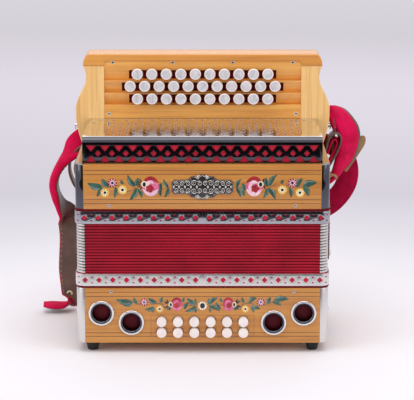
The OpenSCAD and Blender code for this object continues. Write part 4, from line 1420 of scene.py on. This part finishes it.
class Paint:
    """Thin painted shapes on a front board; a shape's lift says how many levels of paint it lies above."""

    def __init__(self):
        self.shapes = {}

    def shape(self, outline, look, lift):
        """A flat shape in the XZ plane, slightly domed and closed at its edge."""
        build = self.shapes.setdefault(look.name, (look, Build()))[1]
        y = FACE - 0.05 - LIFT * lift
        n = len(outline)
        cx, cz = sum(p[0] for p in outline) / n, sum(p[1] for p in outline) / n
        rings = [[(x, FACE + 0.02, z) for x, z in outline], [(x, y + 0.01, z) for x, z in outline],
                 [(cx + (x - cx) * 0.86, y - 0.025, cz + (z - cz) * 0.86) for x, z in outline],
                 [(cx + (x - cx) * 0.05, y - 0.04, cz + (z - cz) * 0.05) for x, z in outline]]
        build.rings(rings)

    def leaf(self, x, z, length, width, angle, look=None, vein=True):
        """A leaf from its foot at (x, z), pointing at angle in degrees, with a lighter stroke along it."""
        c, s = cos(angle), sin(angle)
        steps = 12

        def side(scale, along, shift=0.0):
            made = []
            for k in range(steps + 1):
                t = k / steps
                w = scale * width / 2 * math.sin(math.pi * t ** 0.75) ** 0.9 if 0 < t < 1 else 0
                bow = 0.12 * length * math.sin(math.pi * t) + shift * width
                made.append((t * length * along, w + bow))
            return made

        top, low = side(1, 1), side(-1, 1)
        ring = [(x + a * c - b * s, z + a * s + b * c) for a, b in top + low[-2:0:-1]]
        self.shape(ring, look or GREEN, 1)
        if vein:
            top, low = side(0.42, 0.86, 0.2), side(-0.05, 0.86, 0.2)
            ring = [(x + a * c - b * s, z + a * s + b * c) for a, b in top[1:] + low[-2:0:-1]]
            self.shape(ring, GREY_GREEN, 2)

    def stem(self, points, width=0.7):
        """A thin line along a curve."""
        path = smooth_path(points, 6)
        left, right = [], []
        for k, p in enumerate(path):
            a, b = path[max(k - 1, 0)], path[min(k + 1, len(path) - 1)]
            d = Vector((b[0] - a[0], b[1] - a[1])).normalized() * width / 2
            left.append((p[0] - d.y, p[1] + d.x))
            right.append((p[0] + d.y, p[1] - d.x))
        build = self.shapes.setdefault(GREEN.name, (GREEN, Build()))[1]
        low, y = FACE + 0.02, FACE - 0.06
        build.rings([[(a[0], low, a[1]), (a[0], y, a[1]), (b[0], y, b[1]), (b[0], low, b[1])]
                     for a, b in zip(left, right)])

    def petals(self, x, z, d, look, count, depth, lift):
        """A round flower with scalloped edge."""
        ring = []
        for k in range(count * 8):
            a = 2 * math.pi * k / (count * 8)
            r = d / 2 * (1 - depth * (1 - abs(math.cos(count * a / 2))) ** 1.6)
            ring.append((x + r * math.cos(a), z + r * math.sin(a)))
        self.shape(ring, look, lift)

    def spot(self, x, z, w, h, look, lift, angle=0.0):
        """An ellipse."""
        c, s = cos(angle), sin(angle)
        ring = [(w / 2 * math.cos(t), h / 2 * math.sin(t)) for t in (2 * math.pi * k / 24 for k in range(24))]
        self.shape([(x + a * c - b * s, z + a * s + b * c) for a, b in ring], look, lift)

    def daisy(self, x, z, d, outer, inner, heart, count=7):
        """A round flower with a stroke on each petal and a heart."""
        self.petals(x, z, d, outer, count, 0.3, 3)
        for k in range(count):
            a = 2 * math.pi * (k + 0.5) / count
            r = d * 0.33
            self.spot(x + r * math.cos(a), z + r * math.sin(a), d * 0.22, d * 0.1, inner, 4, math.degrees(a))
        self.spot(x, z, d * 0.46, d * 0.46, inner, 5)
        self.spot(x, z, d * 0.3, d * 0.3, heart, 6)

    def crescent(self, x, z, w, h, thick, a0, a1, look, lift):
        """A stroke along an ellipse from angle a0 to a1, thickest half-way."""
        outer, inner = [], []
        for k in range(15):
            t = k / 14
            a = math.radians(a0 + (a1 - a0) * t)
            cut = 1 - thick * math.sin(math.pi * t)
            outer.append((x + w / 2 * math.cos(a), z + h / 2 * math.sin(a)))
            inner.append((x + w / 2 * cut * math.cos(a), z + h / 2 * cut * math.sin(a)))
        self.shape(outer + inner[-2:0:-1], look, lift)

    def make(self, name, body, replaced):
        for look, build in self.shapes.values():
            mesh(f"{name}_{look.name}", build, [look], body, smooth=60, replaces=replaced)


def pinstripes(p, heights):
    half = WOOD_HALF - 0.8
    for z in heights:
        p.shape(rect(-half, half, z - STRIPE / 2, z + STRIPE / 2), LINE, 0)


def rose(p, m, x, z, w, h, base, glow, heart):
    """A folk-art rose; m is 1 for the left half and -1 for its mirror image."""
    p.petals(m * x, z, w, base, 6, 0.1, 3)
    p.crescent(m * x, z + h * 0.02, w * 0.98, h * 1.06, 0.55, 20, 160, heart, 4)
    p.crescent(m * x, z, w * 0.92, h * 0.95, 0.5, 190, 350, glow, 4)
    p.crescent(m * x, z + h * 0.03, w * 0.66, h * 0.66, 0.6, 60, 250, glow, 5)
    p.petals(m * (x - w * 0.05), z - h * 0.08, w * 0.48, heart, 5, 0.25, 6)
    p.crescent(m * (x - w * 0.05), z + h * 0.1, w * 0.46, h * 0.4, 0.6, 20, 170, glow, 7)


def paint_treble():
    p = Paint()
    pinstripes(p, (248.3, 243.1, 209.2, 204.0))
    for m in (1, -1):
        for x, z, length, width, angle, light in (
                (-131, 226.5, 20, 9.5, 165, 1), (-132, 227, 15, 7.5, 245, 1), (-122.5, 226.5, 14, 8, 128, 1),
                (-103, 230, 7, 4, 120, 0), (-87, 227, 19, 6.8, 124, 1), (-85, 227, 12, 6, 82, 1),
                (-113.5, 226, 14.5, 5.6, 262, 1), (-86, 224, 18, 7, 238, 1), (-84.5, 224, 14, 5.6, 292, 1),
                (-55.5, 221, 11, 7, 78, 1), (-44.5, 225.5, 13, 5.4, 118, 1), (-44.5, 225, 14, 5.8, 248, 1),
                (-55, 214, 13, 5, 80, 1)):
            p.leaf(m * x, z, length, width, mirrored(angle, m), vein=bool(light))
        for line in (((-130, 226.5), (-120, 226), (-112, 228), (-104, 226)),
                     ((-97, 231), (-90, 226), (-84, 223.5)),
                     ((-42, 225.5), (-48, 225), (-56, 222)), ((-86, 225), (-92, 222), (-99, 220))):
            p.stem([(m * x, z) for x, z in line])
        p.daisy(m * -117.5, 231.6, 12.4, CRIMSON, PALE_PINK, BLACK, 9)
        p.daisy(m * -127.4, 218.6, 12.4, YELLOW, IVORY, BLACK)
        p.daisy(m * -104.4, 222.3, 12.8, YELLOW, IVORY, BLACK)
        rose(p, m, -67.6, 226.1, 23.0, 26.0, PINK, PALE_PINK, RED)
        for angle in (118, 146, 176, 206, 236):
            tip = math.radians(angle)
            x, z = m * (-77.5 + 3 * math.cos(tip)), 230 + 3 * math.sin(tip)
            p.leaf(x, z, 6.2, 2.0, mirrored(angle, m), BLACK, False)
        p.spot(m * -76, 229.9, 7.4, 8.6, IVORY, 6)
        p.spot(m * -76, 229.6, 4.4, 6.2, BLACK, 7)
    p.make("treble_paint", "treble_end", ("treble_casing",))


def paint_bass():
    p = Paint()
    pinstripes(p, (83.5, 77.8, 27.7, 22.8))
    # painted shadow line round the buttons' panel
    panel, top, width = 68.5, 52, 0.6     # the line round the buttons
    for x in (-panel, panel):
        p.shape(rect(x - width / 2, x + width / 2, 22, top), SHADOW_LINE, 0)
    p.shape(rect(-panel, panel, top - width / 2, top + width / 2), SHADOW_LINE, 0)
    for m in (1, -1):
        for x, z, length, width, angle in (
                (-94, 71, 21, 8.5, 172), (-93, 70.5, 13, 6, 205), (-87, 67.5, 10, 5.6, 112),
                (-61, 69.5, 13, 6.4, 150), (-55, 69, 8.5, 4.6, 72), (-64, 62.5, 13, 5.6, 190),
                (-66, 64, 9, 4.6, 262), (-24, 60, 12, 5, 60), (-8.5, 67.5, 15, 6.4, 145),
                (-9, 67, 8.5, 4.6, 90), (-8, 64.5, 17, 6, 205), (-9, 62, 7, 3.6, 262),
                (-44, 58.5, 8, 4.4, 80), (-26, 70, 7, 4, 70)):
            p.leaf(m * x, z, length, width, mirrored(angle, m))
        for line in (((-94, 71), (-88, 68), (-82, 67)), ((-68, 67), (-60, 68.5), (-54, 67), (-50, 62)),
                     ((-7, 66), (-16, 65.5), (-26, 66))):
            p.stem([(m * x, z) for x, z in line], 0.8)
        p.daisy(m * -77.4, 69.9, 10.8, CRIMSON, PALE_PINK, BLUE, 9)
        p.daisy(m * -56.8, 60.6, 10.4, YELLOW, IVORY, BLACK)
        rose(p, m, -34.2, 66.6, 15.4, 18.4, PINK_DEEP, PINK, RED)
        for angle in (110, 140, 215, 245, 272):
            tip = math.radians(angle)
            p.leaf(m * (-44 + 2 * math.cos(tip)), 66.5 + 2 * math.sin(tip), 6.4, 2.4,
                   mirrored(angle, m), GREEN_DARK, False)
        p.spot(m * -42.2, 66.6, 5.4, 7.2, IVORY, 6)
        p.spot(m * -42.0, 66.5, 3.2, 5.0, BLACK, 7)
    p.petals(0, 65, 12.4, IVORY, 12, 0.3, 3)
    p.spot(0, 65, 6.4, 7.4, BLACK, 6)
    p.make("bass_paint", "bass_end", ("bass_casing",))


def cartouche_outline(grow):
    """The nameplate's edge: a long panel that swells to an ogee above and below its middle."""
    half_l, half_h = 40 + grow, 9.4 + grow
    quarter = [(half_l, 0), (half_l, half_h - 2.4), (half_l - 2.4, half_h - 2.4), (half_l - 2.6, half_h)]
    quarter += [(22 + grow - 1.5 * k, half_h + 0.18 * k * k) for k in range(6)]
    quarter += [(8 + grow * 0.6, half_h + 5.2), (4, half_h + 5.8), (1.4, half_h + 7.4)]
    ring = quarter + [(-x, z) for x, z in reversed(quarter)]
    ring += [(-x, -z) for x, z in quarter[1:]] + [(x, -z) for x, z in reversed(quarter[1:])]
    return [(x, PLATE_Z + z) for x, z in ring]


def make_cartouche():
    """A silver plate with scrolls on a dark ground, and no lettering."""
    verts, faces = plate([cartouche_outline(0.0)], 0.9, 0.2, 1)
    base = Build()
    base.add([(x, FACE - 0.9 + z, y) for x, y, z in verts], faces)
    mesh("nameplate_ground", base, [NIELLO_AND_SLOT_SHADE], "treble_end", replaces=("treble_casing",))
    scroll = Build()
    y = FACE - 1.0
    scroll.tube([(x, y, z) for x, z in cartouche_outline(-0.9)], 0.55, steps=6, loop=True)
    spirals = (                           # centre, radius, turns, first angle
        (34.2, 4.0, 3.4, 1.5, 20), (26.6, 4.2, 3.3, -1.5, 160), (19.0, 4.6, 3.6, 1.6, 30),
        (11.0, 5.2, 3.9, -1.6, 150), (3.9, 4.6, 3.5, 1.5, 40), (6.2, 12.0, 2.0, 1.3, 60),
        (30.6, 7.2, 1.1, 1.0, 0), (22.8, 7.4, 1.2, 1.0, 0), (15.0, 8.8, 1.4, 1.0, 0))
    n = 22
    for side in (-1, 1):
        for up in (-1, 1):
            for cx, cz, r, turns, start in spirals:
                path, radii = [], []
                for s in range(n + 1):
                    t = s / n
                    a = math.radians(start) + turns * 2 * math.pi * t
                    rr = r * (1 - 0.82 * t)
                    path.append((side * (cx + rr * math.cos(a)), y - 0.12,
                                 PLATE_Z + up * (cz + rr * math.sin(a))))
                    radii.append(0.62 - 0.3 * t)
                scroll.tube(path, radii, steps=6)
            for cx, cz in ((37.4, 0.6), (30.4, 0.7), (22.8, 0.7), (15.0, 0.8), (7.2, 0.8)):
                scroll.lathe([(0, 0.5), (1.0, 0.4), (1.1, -0.1), (0.6, -0.5), (0, -0.6)],
                             (side * cx, y, PLATE_Z + up * cz), 12)
    for up in (-1, 1):
        wing = [(0, 15.6), (3, 13.8), (9, 12.2), (7, 14.4), (3.4, 15.0)]
        for m in (1, -1):
            scroll.tube([(m * x, y, PLATE_Z + up * z) for x, z in smooth_path(wing, 4)], 0.5, steps=6)
    mesh("nameplate_scrolls", scroll, [OLD_SILVER], "treble_end", smooth=60,
         replaces=("treble_casing",))


paint_treble()
paint_bass()
make_cartouche()

# ---- Straps ----

# Each row of a route: place, direction of the width, width, thickness. They repeat the CAD model's bands.
LEFT_ROUTE = [
    [(-128, 106, 262), (0, 0, 1), 30, 6], [(-150, 106, 260), (-0.2, 0, 1), 32, 7],
    [(-168, 105, 252), (-0.5, 0, 0.9), 32, 8], [(-184, 96, 238), (-0.2, 0.7, 0.6), 34, 10],
    [(-197, 93, 222), (0, 1, 0.2), 36, 12], [(-207, 90, 205), (0, 1, 0), 36, 12],
    [(-211, 90, 188), (0, 1, 0), 36, 12], [(-208, 91, 171), (0, 1, 0), 36, 12],
    [(-201, 92, 156), (0.3, 0.95, 0), 36, 9], [(-194, 96, 145), (0.7, 0.7, 0), 36, 7],
    [(-189, 102, 132), (1, 0.2, 0), 36, 6], [(-187, 104, 110), (1, 0, 0), 36, 6],
    [(-188, 105, 85), (1, 0, 0), 36, 6], [(-189, 105, 60), (1, 0, 0), 36, 6],
    [(-188, 105, 38), (1, 0, 0), 34, 6], [(-188, 104, 24), (1, 0.1, 0), 32, 6],
    [(-191, 98, 14), (0.7, 0.8, 0), 28, 6], [(-202, 96, 10), (0.2, 1, 0), 30, 6],
    [(-216, 95, 10), (0, 1, 0), 30, 6], [(-229, 94, 12), (0, 1, 0), 22, 5]]
RIGHT_ROUTE = [
    [(180, 80, 240), (0, 1, 0), 26, 5], [(180.5, 80, 256), (0, 1, 0), 28, 5],
    [(182, 80, 270), (0, 1, 0), 32, 6], [(180, 82, 284), (0, 1, 0), 34, 7],
    [(178, 84, 292), (0.1, 1, 0), 34, 8], [(182, 84, 298), (0.35, 1, -0.2), 36, 10],
    [(191, 82, 289), (0.6, 0.8, 0), 36, 11], [(199.5, 80, 275), (0.75, 0.66, 0), 36, 11],
    [(204.5, 80, 262), (0.78, 0.63, 0), 36, 11], [(204, 80, 245), (0.75, 0.66, 0), 36, 11],
    [(199.5, 81, 228), (0.68, 0.73, 0), 36, 11], [(192.5, 82, 213), (0.5, 0.87, 0), 34, 10],
    [(186, 84, 201), (0.3, 1, 0), 32, 8], [(177, 86, 192), (0, 1, 0), 28, 5]]
BACK_ROUTE = [
    [(-132, 107, 222), (0, 0, 1), 28, 6], [(-100, 107, 208), (0.3, 0, 1), 30, 7],
    [(-50, 107, 190), (0.3, 0, 1), 32, 7], [(0, 107, 176), (0.25, 0, 1), 32, 7],
    [(60, 107, 162), (0.2, 0, 1), 32, 7], [(115, 107, 150), (0.1, 0, 1), 32, 7],
    [(155, 107, 147), (-0.1, 0, 1), 32, 7], [(178, 107, 155), (-0.5, 0, 0.9), 32, 7],
    [(195, 107, 170), (-0.7, 0, 0.7), 30, 7], [(205, 107, 189), (-0.95, 0, 0.3), 30, 7],
    [(206, 107, 210), (-1, 0, -0.1), 30, 7], [(199, 107, 229), (-0.8, 0, -0.6), 28, 7],
    [(184, 107, 241), (-0.3, 0, -0.95), 28, 7], [(164, 107, 245), (0, 0, -1), 28, 6],
    [(132, 107, 245), (0, 0, -1), 28, 6]]
TONGUE_ROUTE = [
    [(199, 102.4, 207), (0.8, 0, -0.5), 12, 2.2], [(209, 102.4, 224), (0.85, 0, -0.5), 14, 2.2],
    [(218, 102.4, 239), (0.85, 0, -0.5), 15, 2.2], [(223.5, 102.4, 248), (0.85, 0, -0.5), 14, 2.2],
    [(227, 102.4, 254), (0.85, 0, -0.5), 8, 2.2], [(228, 102.4, 255.8), (0.85, 0, -0.5), 3, 1.8]]


PAD_SKIN = 1.8                        # thickness between the leather and the padding
LEATHER_T = 2.0
CLOSING_Y = -35                       # middle of the closing strap


def strap_piece(name, build, look, smooth=35):
    return mesh(name, build, [look], "treble_end", smooth, replaces=("leather_straps",))


def route_frames(route, per_span=7):
    """(place, across, through, width, thickness) at close steps of a smoothed route."""
    rows = smooth_path([[*p, *d, w, t] for p, d, w, t in route], per_span)
    frames = []
    for k, row in enumerate(rows):
        before, after = Vector(rows[max(k - 1, 0)][:3]), Vector(rows[min(k + 1, len(rows) - 1)][:3])
        along_dir = (after - before).normalized()
        across = Vector(row[3:6])
        across = (across - across.dot(along_dir) * along_dir).normalized()
        frames.append((Vector(row[:3]), across, along_dir.cross(across), row[6], row[7]))
    return frames


def band_rings(frames, section):
    """Rings from section(k, share, width, thickness) -> list of (across, through) offsets."""
    rings = []
    for k, (p, a, b, w, t) in enumerate(frames):
        rings.append([p + u * a + v * b for u, v in section(k, k / (len(frames) - 1), w, t)])
    return rings


def padded_section(side, seed):
    """A crowned pad whose edges pull in at the seam; side is +1 or -1, the face that is padded."""
    draw = random.Random(seed)
    phases = [(draw.uniform(0.25, 0.8), draw.uniform(0, 6.3), draw.uniform(0.3, 1.0)) for _ in range(4)]

    def section(k, share, w, t):
        ripple = sum(size_ * math.sin(rate * k + phase) for rate, phase, size_ in phases) * 0.02
        ends = min(1.0, share * 14 + 0.45, (1 - share) * 14 + 0.45)
        half, thick = w / 2, (t - PAD_SKIN) * (1 + ripple) * ends
        points = []
        steps = 22
        for s in range(steps + 1):
            a = math.pi * s / steps
            u = math.copysign(abs(math.cos(a)) ** 0.55, math.cos(a)) * half
            crown = abs(math.sin(a)) ** 0.62
            dimple = 1 - 0.09 * math.exp(-((abs(u) - half * 0.72) / 1.6) ** 2)
            points.append((u, -t / 2 + PAD_SKIN + thick * crown * dimple))
        points += [(sign * half * 0.96, -t / 2 + PAD_SKIN - 0.5) for sign in (-1, 1)]
        return [(u, side * v) for u, v in points]
    return section


def chamfered(half, low, high, e):
    """A flat section with its four corners cut by e."""
    return [(half, low + e), (half - e, low), (-half + e, low), (-half, low + e), (-half, high - e),
            (-half + e, high), (half - e, high), (half, high - e)]


def skin_section(side):
    """The leather layer on the other face."""
    def section(k, share, w, t):
        low = -t / 2
        return [(u, side * v) for u, v in chamfered(w / 2 - 1.2, low, low + LEATHER_T, 0.55)]
    return section


def loop_section(k, share, w, t):
    return chamfered(w / 2, -t / 2, t / 2, t * 0.3)


def stitches(build, frames, side, inset):
    """Raised stitches along both edges of the leather face."""
    for edge in (-1, 1):
        for k in range(3, len(frames) - 3, 2):
            (p, a, b, w, t), ahead = frames[k], frames[k + 1]
            points = []
            for share, lift in ((0.0, -0.05), (0.4, 0.32), (0.75, -0.05)):
                points.append(p.lerp(ahead[0], share) + edge * (w / 2 - inset) * a.lerp(ahead[1], share)
                              - side * (t / 2 + lift) * b.lerp(ahead[2], share))
            build.tube(points, 0.42, 0, 6)


def make_strap(name, route, side, pad_look, seed, pad_range=(0, 1)):
    """A leather band with a padded face over part of its length, and two rows of stitches."""
    frames = route_frames(route)
    n = len(frames) - 1
    first, last = int(pad_range[0] * n), int(pad_range[1] * n)
    pad = Build()
    pad.rings(band_rings(frames[first:last + 1], padded_section(side, seed)))
    piece = strap_piece(f"{name}_padding", pad, pad_look, 70)
    skin = Build()
    skin.rings(band_rings(frames, skin_section(side)))
    strap_piece(f"{name}_leather", skin, BROWN, 40)
    seams = Build()
    stitches(seams, frames, side, 3.6)
    strap_piece(f"{name}_stitching", seams, THREAD)
    return frames


def make_piping(name, frames):
    """A cord beside one edge of a strap."""
    build = Build()
    build.tube([p + (w / 2 + 1.0) * a + t * 0.05 * b for p, a, b, w, t in frames], 1.9, steps=10)
    strap_piece(name, build, PIPING)


def make_eyelet(name, place, facing, d, look):
    """A pressed ring with its hole, on a strap."""
    build = Build()
    normal = Vector(facing).normalized()
    side = normal.cross(Vector((0, 0, 1))).normalized()
    up = side.cross(normal)
    section = [(d * 0.24, -0.6), (d * 0.26, 0.35), (d * 0.34, 0.75), (d * 0.42, 0.6), (d * 0.5, 0.1),
               (d * 0.5, -0.6)]
    rings = []
    for c, s in unit_circle(32):
        out = c * side + s * up
        rings.append([Vector(place) + r * out + h * normal for r, h in section])
    build.rings(rings, loop=True)
    strap_piece(name, build, look, 60)


def make_lug(name, place, y0, y1):
    """A stud with a washer that holds a strap's end on the back."""
    build = Build()
    x, z = place
    d = 10
    build.lathe([(0, y0), (d * 0.62, y0), (d * 0.66, y0 + 0.3), (d * 0.62, y0 + 0.9), (d * 0.28, y0 + 1.0),
                 (d * 0.28, y1 - 1.6), (d * 0.5, y1 - 1.5), (d * 0.52, y1 - 0.9), (d * 0.42, y1 - 0.3),
                 (d * 0.2, y1), (0, y1)], (x, 0, z), 32)
    strap_piece(name, build, STEEL)


def plain(points, width, thick, across=(0, 1, 0)):
    """A route of the same width all the way."""
    return [[p, across, width, thick] for p in points]


def make_loop(name, route, look):
    """A plain band of leather bent along a route."""
    build = Build()
    build.rings(band_rings(route_frames(route, 5), loop_section))
    strap_piece(name, build, look, 40)


def make_closing_strap():
    """A stitched tab on the side, buttoned over a stud on the bass end's frame."""
    x0 = HALF_W + 1.4
    low, high = bellows_low[2] + 4, TREBLE_Z - 2
    stud_z = bellows_low[2] + 12
    outline = rect(CLOSING_Y - 11, CLOSING_Y + 11, low, high, 5)
    verts, faces = plate([outline, circle(CLOSING_Y, stud_z, 5.4, 24)], 2.4, 0.7, 3)
    build = Build()
    build.add([(x0 + z, x, y) for x, y, z in verts], faces)
    strap_piece("closing_strap", build, BROWN, 45)
    seams = Build()
    for y in (-43.6, -26.4):
        for k in range(19):
            z = low + 5 + 3.7 * k
            x = x0 + 2.38
            if z + 2.6 < high - 4:
                seams.tube([(x, y, z), (x + 0.3, y, z + 1.2), (x, y, z + 2.4)], 0.36, steps=6)
    strap_piece("closing_strap_stitching", seams, THREAD)
    stud = Build()
    stud.lathe([(0, x0 + 0.4), (2.5, x0 + 0.4), (2.6, x0 + 2.6), (4.6, x0 + 2.7), (5, x0 + 3.3),
                (4.7, x0 + 4.3), (3.0, x0 + 5.2), (1.2, x0 + 5.5), (0, x0 + 5.55)],
               (0, CLOSING_Y, stud_z), 32, 0, "x")
    strap_piece("closing_strap_stud", stud, CHROME)


def make_straps():
    """Two shoulder straps with their fittings, the back strap, its lugs and the closing strap."""
    left = make_strap("left_strap", LEFT_ROUTE, -1, VELVET, 3)
    right = make_strap("right_strap", RIGHT_ROUTE, 1, VELVET, 5, (0.16, 1.0))
    make_strap("back_strap", BACK_ROUTE, 1, VELVET_DEEP, 7)
    n = len(right)
    make_piping("right_strap_piping", right[int(n * 0.2):n - 3])
    make_loop("strap_tongue", TONGUE_ROUTE, TAN)
    place = left[int(len(left) * 15 / 19)][0]
    make_eyelet("left_strap_eyelet", (place.x - 4, place.y - 3.0, place.z + 1), (0, -1, 0), 9, IVORY)
    make_loop("left_buckle_tab", plain([(-163, 99, 247), (-176, 97, 240), (-186, 95, 226), (-188, 94, 209),
                                        (-183, 94, 192), (-174, 95, 178)], 24, 3), BROWN)
    make_loop("left_buckle_lining", plain([(-168, 96, 236), (-177, 94, 226), (-181, 93, 213), (-178, 93, 200),
                                           (-171, 94, 190)], 16, 2.2), TAN)
    ring = Build()
    ring.tube([(-176 + 2.5 * math.sin(a), 82 + 3 * math.cos(a), 219 + 8.5 * math.sin(a))
               for a in (2 * math.pi * k / 28 for k in range(28))], 1.5, steps=8, loop=True)
    strap_piece("left_buckle_ring", ring, CHROME)
    make_loop("right_leather_loop", plain([(172, 72, 244), (176, 68, 260), (184, 67, 268), (192, 68, 262),
                                           (190, 70, 248), (181, 72, 228), (174, 74, 216)], 22, 2.6),
              BROWN)
    make_loop("right_loop_lining", plain([(175, 70, 240), (179, 67, 254), (184, 66, 259), (187, 68, 252),
                                          (183, 70, 240), (177, 72, 226)], 18, 1.8), VELVET)
    make_loop("right_end_tab", plain([(170, 74, 196), (176, 72, 204), (183, 72, 208), (188, 73, 203)], 18, 3,
                                     (0.1, 1, 0.1)), TAN)
    make_lug("left_lug_upper", (-128, 262), 97, 110.6)
    make_lug("left_lug_lower", (-132, 222), HALF_D, 111)
    make_lug("right_lug", (134, 245), HALF_D, 111)
    make_closing_strap()


make_straps()

# ---- End ----

for name in ("bass_reed_blocks", "treble_reed_blocks"):
    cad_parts[name].data.materials.clear()
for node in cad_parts.values():
    if not node.hide_render and not node.data.materials:
        node.data.materials.append(PALE)
